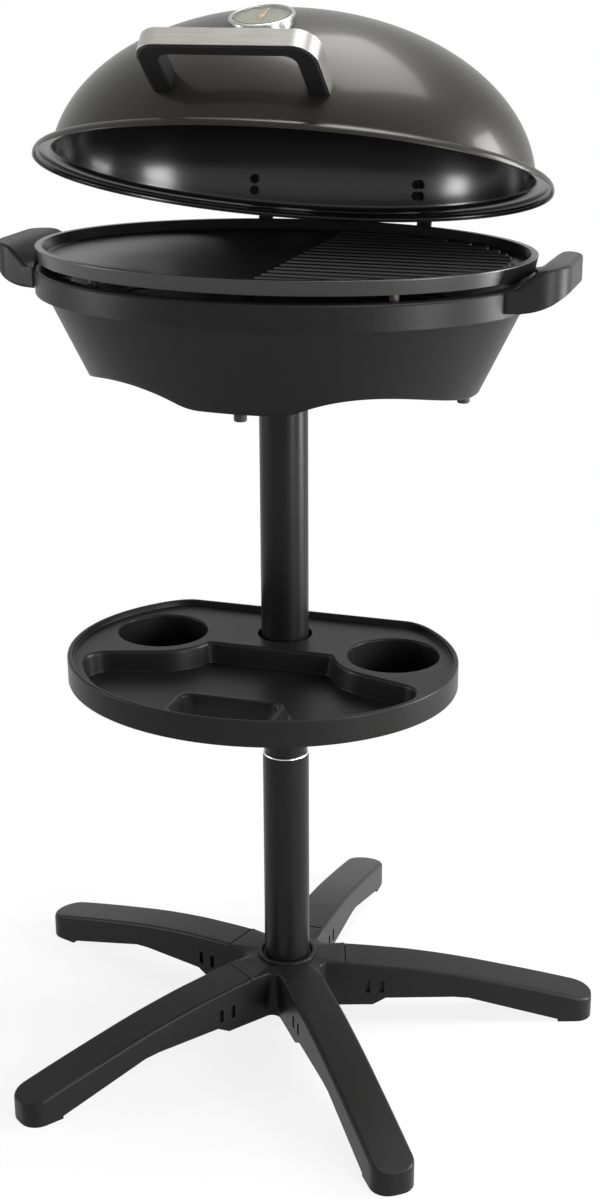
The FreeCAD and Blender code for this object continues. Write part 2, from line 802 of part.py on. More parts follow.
bowl_soft = rounded("bowl_soft", bowl_scalloped, "bowl_arch_round", at_arch_start)
bowl_skin = cut("bowl_skin", bowl_soft, bowl_inner)
bowl_body = joined("bowl_body", bowl_skin, bowl_floor_plate, *foot_bosses)
lead_hole_radius = "(element_diameter / 2 + element_hole_clearance)"
bowl_lead_holes = [
    cylinder(
        f"bowl_lead_hole_{side}", lead_hole_radius, "bowl_top_half_width", x=f"{sign}element_lead_side",
        y="element_bend", z="element_height", along="y",
    )
    for side, sign in (("left", "-"), ("right", ""))
]
SOCKET_SCREWS = 4
socket_screw_places = [
    (
        f"socket_screw_circle / 2 * {math.cos(math.radians(45 + 90 * index)):.6f}",
        f"socket_screw_circle / 2 * {math.sin(math.radians(45 + 90 * index)):.6f}",
    )
    for index in range(SOCKET_SCREWS)
]
socket_screw_holes = [
    cylinder(
        f"socket_screw_hole_{index}", "socket_screw_diameter / 2 + screw_clearance", "bowl_floor",
        x=x, y=y, z="bowl_floor / 2",
    )
    for index, (x, y) in enumerate(socket_screw_places)
]
node(cut("bowl", bowl_body, *bowl_lead_holes, *socket_screw_holes), "bowl_housing")
node(group("bowl_foot_set", *[
    cylinder(f"bowl_foot_{side}", "foot_diameter / 2", "foot_height", x=x, y=y, z="bowl_bottom - foot_height")
    for side, (x, y) in foot_places.items()
]), "bowl_feet")


# Pole socket: flanged sleeve screwed under the bowl floor, the head lifts off the pole with it

socket_tube = cylinder(
    "socket_tube", f"{pole_radius} + pole_clearance + socket_wall", "socket_drop", z="bowl_floor - socket_drop"
)
socket_flange = cylinder(
    "socket_flange", "socket_flange_diameter / 2", "socket_flange_thickness",
    z="bowl_floor - socket_flange_thickness",
)
socket_bore = cylinder("socket_bore", f"{pole_radius} + pole_clearance", "bowl_floor", z="bowl_floor / 2")
node(
    cut("socket", joined("socket_solid", socket_tube, socket_flange), socket_bore, *socket_screw_holes),
    "pole_socket",
)
socket_screw_set = []
for index, (x, y) in enumerate(socket_screw_places):
    shank = cylinder(
        f"socket_screw_shank_{index}", "socket_screw_diameter / 2", "socket_flange_thickness + bowl_wall",
        x=x, y=y, z="bowl_floor - socket_flange_thickness",
    )
    head = cylinder(
        f"socket_screw_head_{index}", "screw_head_diameter / 2", "screw_head_height",
        x=x, y=y, z="bowl_floor - socket_flange_thickness - screw_head_height",
    )
    socket_screw_set.append(joined(f"socket_screw_{index}", shank, head))
node(group("socket_screw_group", *socket_screw_set), "socket_screws")


# Rim frame: oval band on the bowl with an inner ledge that carries the reflector pan

frame_band = oval_prism("frame_band", "frame_half_length", "frame_half_width", "frame_bottom", "frame_top")
frame_inner_length = "(frame_half_length - frame_wall)"
frame_inner_width = "(frame_half_width - frame_wall)"
ledge_top = "(frame_bottom + ledge_height + ledge_thickness)"
frame_upper_space = oval_prism(
    "frame_upper_space", frame_inner_length, frame_inner_width, ledge_top, "frame_top + overrun"
)
frame_lower_space = oval_prism(
    "frame_lower_space", frame_inner_length, frame_inner_width, "frame_bottom - overrun",
    "frame_bottom + ledge_height",
)
frame_opening = oval_prism(
    "frame_opening", f"{frame_inner_length} - ledge_width", f"{frame_inner_width} - ledge_width",
    "frame_bottom", "frame_top",
)
frame_soft = rounded(
    "frame_soft", frame_band, "frame_edge_round", lambda edge: level_at(edge, "frame_top")
)
handle_screw_height = "((handle_root_bottom + handle_root_top) / 2)"
handle_screw_holes = [
    cylinder(
        f"handle_screw_hole_{index}", "handle_screw_diameter / 2 + screw_clearance", "4 * handle_reach",
        x="-2 * handle_reach", y=f"{sign}handle_screw_spread", z=handle_screw_height, along="x",
    )
    for index, sign in enumerate(("-", ""))
]
node(
    cut("frame", frame_soft, frame_upper_space, frame_lower_space, frame_opening, *handle_screw_holes),
    "rim_frame",
)


# Side handles: upswept ears screwed to the ends of the band

handle_side = profile("handle_side", FRONT_PLANE, [
    ("handle_root", "handle_root_bottom", "handle_under_bow"),
    ("handle_reach", "handle_tip_bottom"),
    ("handle_reach - handle_tip_lean", "handle_tip_top"),
    ("handle_reach - handle_tip_flat", "handle_tip_top - handle_flat_drop"),
    ("handle_root", "handle_root_top"),
    ("frame_half_length / 2", "handle_root_top"),
    ("frame_half_length / 2", "handle_root_bottom"),
])
handle_bar = extruded("handle_bar", handle_side, "y", "2 * handle_root_half_width", both_ways=True)
handle_plan = profile("handle_plan", FLOOR_PLANE, [
    ("frame_half_length / 2", "-handle_root_half_width"),
    ("handle_root - handle_tip_round / 2", "-handle_root_half_width"),
    ("handle_reach", "-handle_tip_half_width"),
    ("handle_reach", "handle_tip_half_width"),
    ("handle_root - handle_tip_round / 2", "handle_root_half_width"),
    ("frame_half_length / 2", "handle_root_half_width"),
])
handle_column = extruded("handle_column", handle_plan, "z", "handle_tip_top + overrun")
handle_rounded_column = rounded(
    "handle_rounded_column", handle_column, "handle_tip_round",
    lambda edge: straight_along(edge, "z") and edge.BoundBox.XMin > size("handle_root"),
)
handle_ear = shared("handle_ear", handle_bar, handle_rounded_column)
handle_clear = oval_prism(
    "handle_clear", "frame_half_length + handle_seam", "frame_half_width + handle_seam",
    "frame_bottom - overrun", "handle_tip_top + overrun",
)
handle_shape = cut("handle_shape", handle_ear, handle_clear, *handle_screw_holes)
node(handle_shape, "handle_right")
handle_mirror = doc.addObject("Part::Mirroring", "handle_mirror")
handle_mirror.Source = handle_shape
handle_mirror.Normal = AXES["x"]
node(handle_mirror, "handle_left")
handle_screw_set = []
for side, forward in (("left", False), ("right", True)):
    for index, sign in enumerate(("-", "")):
        inside = f"({frame_inner_length} * sqrt(1 - (handle_screw_spread / {frame_inner_width})^2))"
        start = f"{'' if forward else '-'}({inside} - screw_head_height)"
        shank = cylinder(
            f"handle_screw_shank_{side}_{index}", "handle_screw_diameter / 2", "handle_screw_length",
            x=start, y=f"{sign}handle_screw_spread", z=handle_screw_height, along="x", back=not forward,
        )
        handle_screw_set.append(shank)
node(group("handle_screw_group", *handle_screw_set), "handle_screws")


# Heater: reflector pan on the ledge, tubular element in clips, and posts that carry the plate

pan_rim_length = f"({frame_inner_length} - reflector_inset)"
pan_rim_width = f"({frame_inner_width} - reflector_inset)"
pan_flange = oval_prism("pan_flange", pan_rim_length, pan_rim_width, ledge_top, f"{ledge_top} + reflector_sheet")
pan_mouth_length = f"({frame_inner_length} - ledge_width - reflector_inset)"
pan_mouth_width = f"({frame_inner_width} - ledge_width - reflector_inset)"
pan_bottom = f"({ledge_top} - reflector_depth)"
pan_outer = oval_cone(
    "pan_outer",
    (f"{pan_mouth_length} - reflector_draw", f"{pan_mouth_width} - reflector_draw", pan_bottom),
    (pan_mouth_length, pan_mouth_width, f"{ledge_top} + reflector_sheet"),
)
pan_inner = oval_cone(
    "pan_inner",
    (
        f"{pan_mouth_length} - reflector_draw - reflector_sheet",
        f"{pan_mouth_width} - reflector_draw - reflector_sheet",
        f"{pan_bottom} + reflector_sheet",
    ),
    (
        f"{pan_mouth_length} - reflector_sheet", f"{pan_mouth_width} - reflector_sheet",
        f"{ledge_top} + reflector_sheet",
    ),
)
pan_solid = joined("pan_solid", pan_flange, pan_outer)
node(cut("reflector", pan_solid, pan_inner, *bowl_lead_holes), "reflector_pan")
element_radius = "(element_diameter / 2)"
element_run = "(element_half_length - element_bend)"
element_pieces = [cylinder(
    "element_front", element_radius, f"2 * {element_run}", x=f"-{element_run}", y="-element_bend",
    z="element_height", along="x",
)]


def ring_part(name, radius, x, y, start, sweep):
    """Part of a level ring of heater tube, from a start angle through a sweep."""
    thing = bind(doc.addObject("Part::Torus", name), Radius1=radius, Radius2=element_radius)
    thing.Angle3 = sweep
    put(thing, x, y, "element_height")
    thing.Placement.Rotation = FreeCAD.Rotation(AXES["z"], start)
    return thing


lead_y = "(element_bend + element_lead_bend)"
lead_length = "(control_back - control_lead_depth - element_bend - element_lead_bend)"
lead_run = f"({element_run} - element_lead_side - element_lead_bend)"
for side, sign, end_start, lead_start in (("left", "-", 90, 270), ("right", "", 270, 180)):
    run_start = f"-{element_run}" if side == "left" else "element_lead_side + element_lead_bend"
    corner_x = f"{sign}(element_lead_side + element_lead_bend)"
    element_pieces += [
        ring_part(f"element_end_{side}", "element_bend", f"{sign}{element_run}", "0", end_start, 180),
        cylinder(
            f"element_back_{side}", element_radius, lead_run, x=run_start, y="element_bend",
            z="element_height", along="x",
        ),
        ring_part(f"element_turn_{side}", "element_lead_bend", corner_x, lead_y, lead_start, QUARTER_TURN),
        cylinder(
            f"element_lead_{side}", element_radius, lead_length, x=f"{sign}element_lead_side", y=lead_y,
            z="element_height", along="y",
        ),
    ]
node(joined("element", *element_pieces), "heating_element")
element_clip_set = []
for index, (x_sign, y_sign) in enumerate((("-", "-"), ("", "-"), ("-", ""), ("", ""))):
    centre = f"({y_sign}element_bend)"
    post = block(
        f"clip_post_{index}", f"{x_sign}clip_side / 2 - clip_thickness / 2",
        f"{x_sign}clip_side / 2 + clip_thickness / 2", f"{centre} - clip_width / 2", f"{centre} + clip_width / 2",
        f"{pan_bottom} + reflector_sheet", "element_height",
    )
    saddle = cylinder(
        f"clip_saddle_{index}", f"{element_radius} + element_clearance", "clip_width",
        x=f"{x_sign}clip_side / 2 - clip_width / 2", y=centre, z="element_height", along="x",
    )
    element_clip_set.append(cut(f"element_clip_{index}", post, saddle))
node(group("element_clip_group", *element_clip_set), "element_clips")
plate_bottom = "(frame_top + plate_gap)"
post_length = f"({frame_inner_length} - ledge_width / 2)"
post_width = f"({frame_inner_width} - ledge_width / 2)"
plate_post_set = [
    cylinder(
        f"plate_post_{index}", "post_diameter / 2", f"{plate_bottom} - {ledge_top} - reflector_sheet",
        x=f"{x_sign}{post_length} * cos(post_angle)", y=f"{y_sign}{post_width} * sin(post_angle)",
        z=f"{ledge_top} + reflector_sheet",
    )
    for index, (x_sign, y_sign) in enumerate((("-", "-"), ("", "-"), ("-", ""), ("", "")))
]
node(group("plate_post_group", *plate_post_set), "plate_posts")


# Grill plate: cast oval dish, smooth on the left and ridged on the right

plate_top = f"({plate_bottom} + plate_height)"
plate_cast = oval_cone(
    "plate_cast",
    ("plate_half_length - plate_draft", "plate_half_width - plate_draft", plate_bottom),
    ("plate_half_length", "plate_half_width", plate_top),
)
dish_length = "(plate_half_length - plate_rim_width)"
dish_width = "(plate_half_width - plate_rim_width)"
dish_floor = f"({plate_bottom} + plate_floor)"
plate_dish = oval_cone(
    "plate_dish",
    (f"{dish_length} - plate_dish_draft", f"{dish_width} - plate_dish_draft", dish_floor),
    (dish_length, dish_width, plate_top),
)
plate_open = cut("plate_open", plate_cast, plate_dish)
ridge_outline_sides = [
    ("-ridge_width / 2", f"{dish_floor} - plate_floor / 2"),
    ("ridge_width / 2", f"{dish_floor} - plate_floor / 2"),
    ("ridge_width / 2", dish_floor),
    ("ridge_crest / 2", f"{dish_floor} + ridge_height"),
    ("-ridge_crest / 2", f"{dish_floor} + ridge_height"),
    ("-ridge_width / 2", dish_floor),
]
ridge_outline = profile("ridge_outline", SIDE_PLANE, ridge_outline_sides)
ridge_bar = extruded("ridge_bar", ridge_outline, "x", "plate_half_length")
ridge_half_count = int(size(f"({dish_width} - ridge_margin) / ridge_pitch"))
ridge_bars = [
    put(group(f"ridge_{index + ridge_half_count}", ridge_bar), x="ridge_start", y=f"{index} * ridge_pitch")
    for index in range(-ridge_half_count, ridge_half_count + 1)
]
ridge_limit = oval_prism(
    "ridge_limit", f"{dish_length} - ridge_margin", f"{dish_width} - ridge_margin", plate_bottom, plate_top
)
ridge_field = shared("ridge_field", joined("ridge_set", *ridge_bars), ridge_limit)
node(joined("plate", plate_open, ridge_field), "grill_plate")


# Control box: thermostat housing on the back of the bowl, with a knob, a lamp lens and a cord gland

control_block = block(
    "control_block", "-control_half_width", "control_half_width", "element_bend", "control_back",
    "control_bottom", "control_top",
)
control_soft = rounded(
    "control_soft", control_block, "control_round",
    lambda edge: edge.BoundBox.YMin > size("control_back - seat_gap") or (
        straight_along(edge, "y") and edge.BoundBox.ZMin < size("control_bottom + control_round")
    ),
)
bowl_seat = oval_cone(
    "bowl_seat",
    ("bowl_bottom_half_length + seat_gap", "bowl_bottom_half_width + seat_gap", "bowl_bottom"),
    ("bowl_top_half_length + seat_gap", "bowl_top_half_width + seat_gap", "frame_bottom"),
)
knob_shaft_hole = cylinder(
    "knob_shaft_hole", "knob_shaft_diameter / 2 + shaft_clearance", "knob_shaft_length + overrun",
    y="control_back - knob_shaft_length", z="knob_height", along="y",
)
lens_hole = cylinder(
    "lens_hole", "lens_diameter / 2 + screw_clearance", "control_lead_depth", x="lens_side",
    y="control_back - control_lead_depth / 2", z="lens_height", along="y",
)
gland_hole = cylinder(
    "gland_hole", "gland_bore / 2", "gland_length", x="-gland_side", y="gland_back",
    z="control_bottom - overrun",
)
node(
    cut("control", control_soft, bowl_seat, *bowl_lead_holes, knob_shaft_hole, lens_hole, gland_hole),
    "control_box",
)
knob_front = "(control_back + knob_gap)"
knob_skirt = cylinder(
    "knob_skirt", "knob_skirt_diameter / 2", "knob_skirt_length", y=knob_front, z="knob_height", along="y"
)
knob_grip = cylinder("knob_grip", "knob_diameter / 2", "knob_length", y=knob_front, z="knob_height", along="y")
knob_pointer = block(
    "knob_pointer", "-knob_pointer_width / 2", "knob_pointer_width / 2",
    knob_front, f"{knob_front} + knob_length + knob_pointer_height",
    "knob_height", "knob_height + knob_diameter / 2",
)
knob_shaft = cylinder(
    "knob_shaft", "knob_shaft_diameter / 2", "knob_shaft_length + knob_length / 2",
    y="control_back - knob_shaft_length + knob_gap", z="knob_height", along="y",
)
node(joined("knob", knob_skirt, knob_grip, knob_pointer, knob_shaft), "control_knob")
node(cylinder(
    "lamp_lens", "lens_diameter / 2", "control_lead_depth / 2 + lens_proud", x="lens_side",
    y="control_back - control_lead_depth / 2", z="lens_height", along="y",
), "indicator_lens")
gland_body = cylinder(
    "gland_body", "gland_diameter / 2", "gland_length", x="-gland_side", y="gland_back",
    z="control_bottom - gland_length",
)
gland_bore = cylinder(
    "gland_way", "gland_bore / 2", "gland_length + 2 * overrun", x="-gland_side", y="gland_back",
    z="control_bottom - gland_length - overrun",
)
node(cut("gland", gland_body, gland_bore), "cord_gland")


# Hinges: ears on the back of the band, pins, and straps riveted to the dome

frame_clear = oval_prism(
    "frame_clear", "frame_half_length + seat_gap", "frame_half_width + seat_gap", "frame_bottom", "frame_top"
)
bracket_half_width = "(strap_width / 2 + strap_side_gap + bracket_ear)"
pin_bore_radius = "(hinge_pin_diameter / 2 + shaft_clearance)"
hinge_pin_set = []
for side, sign in (("left", "-"), ("right", "")):
    middle = f"({sign}hinge_side)"
    web = block(
        f"bracket_web_{side}", f"{middle} - {bracket_half_width}", f"{middle} + {bracket_half_width}",
        "frame_half_width / 2", "hinge_back", "bracket_bottom", "bracket_top",
    )
    eye = cylinder(
        f"bracket_eye_{side}", "bracket_eye_diameter / 2", f"2 * {bracket_half_width}",
        x=f"{middle} - {bracket_half_width}", y="hinge_back", z="hinge_height", along="x",
    )
    gap = block(
        f"bracket_gap_{side}", f"{middle} - strap_width / 2 - strap_side_gap",
        f"{middle} + strap_width / 2 + strap_side_gap", "hinge_back - bracket_eye_diameter",
        "hinge_back + bracket_eye_diameter", "bracket_bottom - overrun", "bracket_top + overrun",
    )
    bore = cylinder(
        f"bracket_bore_{side}", pin_bore_radius, f"4 * {bracket_half_width}",
        x=f"{middle} - 2 * {bracket_half_width}", y="hinge_back", z="hinge_height", along="x",
    )
    bracket_solid = joined(f"bracket_solid_{side}", web, eye)
    node(cut(f"bracket_{side}", bracket_solid, frame_clear, gap, bore), f"hinge_bracket_{side}")
    pin_shank = cylinder(
        f"pin_shank_{side}", "hinge_pin_diameter / 2", f"2 * {bracket_half_width} + hinge_pin_head_length",
        x=f"{middle} - {bracket_half_width} - hinge_pin_head_length", y="hinge_back", z="hinge_height", along="x",
    )
    pin_head = cylinder(
        f"pin_head_{side}", "hinge_pin_head / 2", "hinge_pin_head_length",
        x=f"{middle} - {bracket_half_width} - hinge_pin_head_length", y="hinge_back", z="hinge_height", along="x",
    )
    hinge_pin_set.append(joined(f"hinge_pin_{side}", pin_shank, pin_head))
node(group("hinge_pin_group", *hinge_pin_set), "hinge_pins")

# Lid pieces are drawn round the hinge axis with the lid shut, then swung open together

flange_under = f"({plate_top} + lid_rest_gap - hinge_height)"
flange_top = f"({flange_under} + lid_sheet)"
lid_y = "(-hinge_back)"
rim_plane = f"({flange_top} - lid_skirt / 2)"
dome_half_length = "(lid_half_length - lid_flange)"
dome_half_width = "(lid_half_width - lid_flange)"
dome_x = f"({dome_half_length} / cos(dome_edge_angle))"
dome_y = f"({dome_half_width} / cos(dome_edge_angle))"
dome_z = "(dome_height / (1 - sin(dome_edge_angle)))"
dome_centre = f"({flange_top} - {dome_z} * sin(dome_edge_angle))"
OPENING_AXIS = (-1, 0, 0)


def swung(thing):
    return put(thing, y="hinge_back", z="hinge_height", turn=(OPENING_AXIS, "lid_open_angle"))


def dome_solid(name, grow):
    """The dome's oval cap, grown or shrunk all over by a length."""
    thing = doc.addObject("Part::Ellipsoid", name)
    bind(
        thing, Radius1=f"{dome_z} + ({grow})", Radius2=f"{dome_x} + ({grow})", Radius3=f"{dome_y} + ({grow})",
        Angle1="dome_edge_angle",
    )
    thing.Angle2 = QUARTER_TURN
    return put(thing, y=lid_y, z=dome_centre)


lid_plate = oval_prism(
    "lid_plate", "lid_half_length", "lid_half_width", f"{flange_top} - lid_skirt", flange_top, lid_y
)
lid_lip = rounded("lid_lip", lid_plate, "lid_lip_round", lambda edge: level_at(edge, flange_top))
lid_under = oval_prism(
    "lid_under", "lid_half_length - lid_sheet", "lid_half_width - lid_sheet",
    f"{flange_top} - lid_skirt - overrun", flange_under, lid_y,
)
lid_lip_inside = rounded(
    "lid_lip_inside", lid_under, "lid_lip_round - lid_sheet", lambda edge: level_at(edge, flange_under)
)
lid_mouth = oval_prism(
    "lid_mouth", f"({dome_x} - lid_sheet) * cos(dome_edge_angle)",
    f"({dome_y} - lid_sheet) * cos(dome_edge_angle)", f"{flange_top} - lid_skirt", flange_top, lid_y,
)
dome_inside = dome_solid("dome_inside", "-lid_sheet")
rivet_places = []
for side, sign in (("left", "-"), ("right", "")):
    for index in range(2):
        rivet_places.append((
            f"rivet_{side}_{index}", f"({sign}hinge_side)", f"({flange_top} + rivet_first + {index} * rivet_step)"
        ))


def dome_back(x, z):
    """How far back the dome's outside lies at a side distance and a height."""
    return f"({lid_y} + {dome_y} * sqrt(1 - (({x}) / {dome_x})^2 - (({z} - {dome_centre}) / {dome_z})^2))"


rivet_holes = [
    cylinder(
        f"{name}_hole", "rivet_diameter / 2 + screw_clearance", "lid_half_width / 2", x=x,
        y=f"{dome_back(x, z)} - lid_half_width / 4", z=z, along="y",
    )
    for name, x, z in rivet_places
]
dial_y = f"({lid_y} - dial_forward)"
dial_z = f"({dome_centre} + {dome_z} * sqrt(1 - (dial_forward / {dome_y})^2) - dial_sink)"
stem_hole = cylinder(
    "stem_hole", "stem_diameter / 2 + screw_clearance", "4 * stem_length",
    y=f"{dial_y} + 2 * stem_length * sin(dial_tilt)", z=f"{dial_z} - 2 * stem_length * cos(dial_tilt)",
)
put(
    stem_hole, y=f"{dial_y} + 2 * stem_length * sin(dial_tilt)",
    z=f"{dial_z} - 2 * stem_length * cos(dial_tilt)", turn=((1, 0, 0), "dial_tilt"),
)
grip_z = f"({rim_plane} + grip_seat_height)"
grip_seat = f"{dome_y} * sqrt(1 - (({grip_z} - {dome_centre}) / {dome_z})^2)"
grip_y = f"({lid_y} - {grip_seat} + grip_seat_inset)"
grip_turn = ((1, 0, 0), "180 - grip_angle")


def on_grip_frame(thing, across, out, down):
    """Places a thing in the lid handle's own frame: across, out from the dome, and down."""
    return put(
        thing, x=across,
        y=f"{grip_y} - ({out}) * cos(grip_angle) - ({down}) * sin(grip_angle)",
        z=f"{grip_z} + ({out}) * sin(grip_angle) - ({down}) * cos(grip_angle)",
        turn=grip_turn,
    )


grip_leg_side = "((grip_width - grip_leg) / 2)"
grip_screw_holes = []
for side, sign in (("left", "-"), ("right", "")):
    hole = bind(
        doc.addObject("Part::Cylinder", f"grip_screw_hole_{side}"),
        Radius="grip_screw_diameter / 2 + screw_clearance", Height="2 * grip_screw_length",
    )
    put(
        hole, x=f"{sign}{grip_leg_side}", y=f"{grip_y} + grip_screw_length * cos(grip_angle)",
        z=f"{grip_z} - grip_screw_length * sin(grip_angle)", turn=((1, 0, 0), "90 - grip_angle"),
    )
    grip_screw_holes.append(hole)
lid_solid = joined("lid_solid", lid_lip, dome_solid("dome_outside", "0"))
lid_shell = cut("lid_shell", lid_solid, lid_lip_inside, lid_mouth, dome_inside)
node(swung(cut("lid", lid_shell, *rivet_holes, stem_hole, *grip_screw_holes)), "lid_dome")

dome_seat = dome_solid("dome_seat", "seat_gap")
strap_top = f"({flange_top} + strap_over_flange + strap_thickness)"
strap_foot = f"({flange_top} + strap_over_flange)"
strap_tail_top = f"({flange_top} + strap_tail)"
strap_wall = dome_back("hinge_side", strap_foot)
strap_end = dome_back("hinge_side", strap_tail_top)
strap_side = profile("strap_side", SIDE_PLANE, [
    ("-strap_thickness / 2", "0"),
    ("strap_thickness / 2", "0"),
    ("strap_thickness / 2", strap_top),
    (f"{strap_wall} + strap_thickness", strap_top),
    (f"{strap_end} + strap_thickness", strap_tail_top),
    (f"{strap_end} - strap_thickness", strap_tail_top),
    (f"{strap_wall} - 2 * strap_thickness", strap_foot),
    ("-strap_thickness / 2", strap_foot),
])
strap_leaf = extruded("strap_leaf", strap_side, "x", "strap_width")
strap_eye = cylinder("strap_eye", "strap_eye_diameter / 2", "strap_width", along="x")
strap_solid = joined("strap_solid", strap_leaf, strap_eye)
strap_bore = cylinder(
    "strap_bore", pin_bore_radius, "strap_width + 2 * overrun", x="-overrun", along="x"
)
for side, sign in (("left", "-"), ("right", "")):
    strap = put(group(f"strap_form_{side}", strap_solid), x=f"({sign}hinge_side) - strap_width / 2")
    bore = put(group(f"strap_bore_{side}", strap_bore), x=f"({sign}hinge_side) - strap_width / 2")
    node(swung(cut(f"strap_{side}", strap, dome_seat, bore, *rivet_holes)), f"hinge_strap_{side}")
rivet_set = []
for name, x, z in rivet_places:
    outside = f"({dome_back(x, z)} + strap_thickness)"
    inside = f"({dome_back(x, z)} - lid_sheet - strap_thickness)"
    shank = cylinder(
        f"{name}_shank", "rivet_diameter / 2", f"{outside} - {inside} + rivet_head_height", x=x, y=inside, z=z,
        along="y",
    )
    head = cylinder(
        f"{name}_head", "rivet_head_diameter / 2", "rivet_head_height", x=x, y=f"{inside} - rivet_head_height",
        z=z, along="y",
    )
    rivet_set.append(joined(name, shank, head))
node(swung(group("rivet_group", *rivet_set)), "strap_rivets")


# Lid handle: plastic U grip with a steel strip bent round its outside, screwed through the dome

def grip_bracket(name, width, standoff, depth, corner):
    """A bar with two rounded outer corners, drawn across, out from the dome and down."""
    bar = doc.addObject("Part::Box", f"{name}_bar")
    bind(bar, Length=width, Width=f"({standoff}) + grip_seat_sink", Height=depth)
    soft = rounded(
        f"{name}_soft", bar, corner,
        lambda edge: straight_along(edge, "z") and edge.BoundBox.YMin > size(f"({standoff}) / 2"),
    )
    return on_grip_frame(group(name, soft), f"-({width}) / 2", "-grip_seat_sink", f"-({depth}) / 2")


inner_width = "(grip_width - 2 * grip_leg)"
core_outer = grip_bracket(
    "core_outer", "grip_width - 2 * grip_sheet", "grip_standoff - grip_sheet", "grip_depth",
    "grip_corner - grip_sheet",
)
core_inner = grip_bracket(
    "core_inner", inner_width, "grip_standoff - grip_bar", "grip_depth + 2 * overrun", "grip_inner_corner"
)
node(
    swung(cut("grip_core", core_outer, core_inner, dome_seat, *grip_screw_holes)), "lid_handle_core"
)
cover_outer = grip_bracket(
    "cover_outer", "grip_width", "grip_standoff", "grip_depth - 2 * grip_sheet", "grip_corner"
)
cover_inner = grip_bracket(
    "cover_inner", "grip_width - 2 * grip_sheet", "grip_standoff - grip_sheet", "grip_depth + 2 * overrun",
    "grip_corner - grip_sheet",
)
node(swung(cut("grip_cover", cover_outer, cover_inner, dome_seat)), "lid_handle_cover")
grip_screw_set = []
for side, sign in (("left", "-"), ("right", "")):
    shank = bind(
        doc.addObject("Part::Cylinder", f"grip_screw_shank_{side}"),
        Radius="grip_screw_diameter / 2", Height="grip_screw_length",
    )
    head = bind(
        doc.addObject("Part::Cylinder", f"grip_screw_head_{side}"),
        Radius="grip_screw_head / 2", Height="screw_head_height",
    )
    for thing in (shank, head):
        put(
            thing, x=f"{sign}{grip_leg_side}", y=f"{grip_y} + grip_screw_sink * cos(grip_angle)",
            z=f"{grip_z} - grip_screw_sink * sin(grip_angle)", turn=((1, 0, 0), "90 - grip_angle"),
        )
    grip_screw_set.append(joined(f"grip_screw_{side}", shank, head))
node(swung(group("grip_screw_group", *grip_screw_set)), "lid_handle_screws")


# Thermometer: bezel case on the dome with a dial, a needle, a glass, and a stem clamped by a nut

def on_dial(name, kind, rise, **sizes):
    """A round solid on the dial's axis, starting at a rise above the dome."""
    thing = bind(doc.addObject(kind, name), **sizes)
    return put(
        thing, y=f"{dial_y} - ({rise}) * sin(dial_tilt)", z=f"{dial_z} + ({rise}) * cos(dial_tilt)",
        turn=((1, 0, 0), "dial_tilt"),
    )


case_radius = "(case_diameter / 2)"
window_radius = f"({case_radius} - bezel_width)"
glass_bottom = "(case_rise - glass_thickness)"
dial_bottom = "(case_rise - dial_depth)"
dial_top = f"({dial_bottom} + dial_thickness)"
case_body = on_dial(
    "case_body", "Part::Cylinder", "-case_sink", Radius=case_radius, Height="case_rise + case_sink"
)
case_recess = on_dial(
    "case_recess", "Part::Cylinder", dial_bottom, Radius=window_radius, Height="dial_depth + overrun"
)
node(swung(cut("case", case_body, dome_seat, case_recess, stem_hole)), "thermometer_case")
dial_disc = on_dial(
    "dial_disc", "Part::Cylinder", dial_bottom, Radius=f"{window_radius} - dial_edge_gap", Height="dial_thickness"
)
dial_hole = on_dial(
    "dial_hole", "Part::Cylinder", f"{dial_bottom} - overrun",
    Radius="needle_shaft_diameter / 2 + shaft_clearance", Height="2 * overrun",
)
node(swung(cut("dial", dial_disc, dial_hole)), "thermometer_dial")
node(swung(group("glass", on_dial(
    "glass_disc", "Part::Cylinder", glass_bottom,
    Radius=f"{window_radius} - dial_edge_gap", Height="glass_thickness",
))), "thermometer_glass")
needle_bottom = f"({dial_top} + needle_lift)"
needle_outline = profile("needle_outline", FLOOR_PLANE, [
    ("-needle_width / 2", "-needle_tail"),
    ("needle_width / 2", "-needle_tail"),
    ("needle_width / 4", "needle_length"),
    ("-needle_width / 4", "needle_length"),
])
needle_blade = group("needle_blade", extruded("needle_bar", needle_outline, "z", "needle_thickness"))
put(
    needle_blade, y=f"{dial_y} - {needle_bottom} * sin(dial_tilt)",
    z=f"{dial_z} + {needle_bottom} * cos(dial_tilt)", turn=((1, 0, 0), "dial_tilt"),
)
needle_hub = on_dial(
    "needle_hub", "Part::Cylinder", needle_bottom, Radius="needle_hub_diameter / 2",
    Height="2 * needle_thickness",
)
needle_shaft = on_dial(
    "needle_shaft", "Part::Cylinder", dial_bottom, Radius="needle_shaft_diameter / 2",
    Height=f"{needle_bottom} - {dial_bottom} + needle_thickness",
)
node(swung(joined("needle", needle_blade, needle_hub, needle_shaft)), "thermometer_needle")
stem_rod = on_dial(
    "stem_rod", "Part::Cylinder", "-stem_length", Radius="stem_diameter / 2",
    Height=f"stem_length + {dial_bottom}",
)
node(swung(group("stem", stem_rod)), "thermometer_stem")
nut_top = "(-lid_sheet - seat_gap)"
nut_hex = doc.addObject("Part::Prism", "nut_hex")
nut_hex.Polygon = 6
bind(nut_hex, Circumradius="nut_diameter / 2", Height="nut_thickness")
put(
    nut_hex, y=f"{dial_y} - ({nut_top} - nut_thickness) * sin(dial_tilt)",
    z=f"{dial_z} + ({nut_top} - nut_thickness) * cos(dial_tilt)", turn=((1, 0, 0), "dial_tilt"),
)
node(swung(cut("nut", nut_hex, stem_hole)), "thermometer_nut")


# Recompute, check every object and write one file for each piece

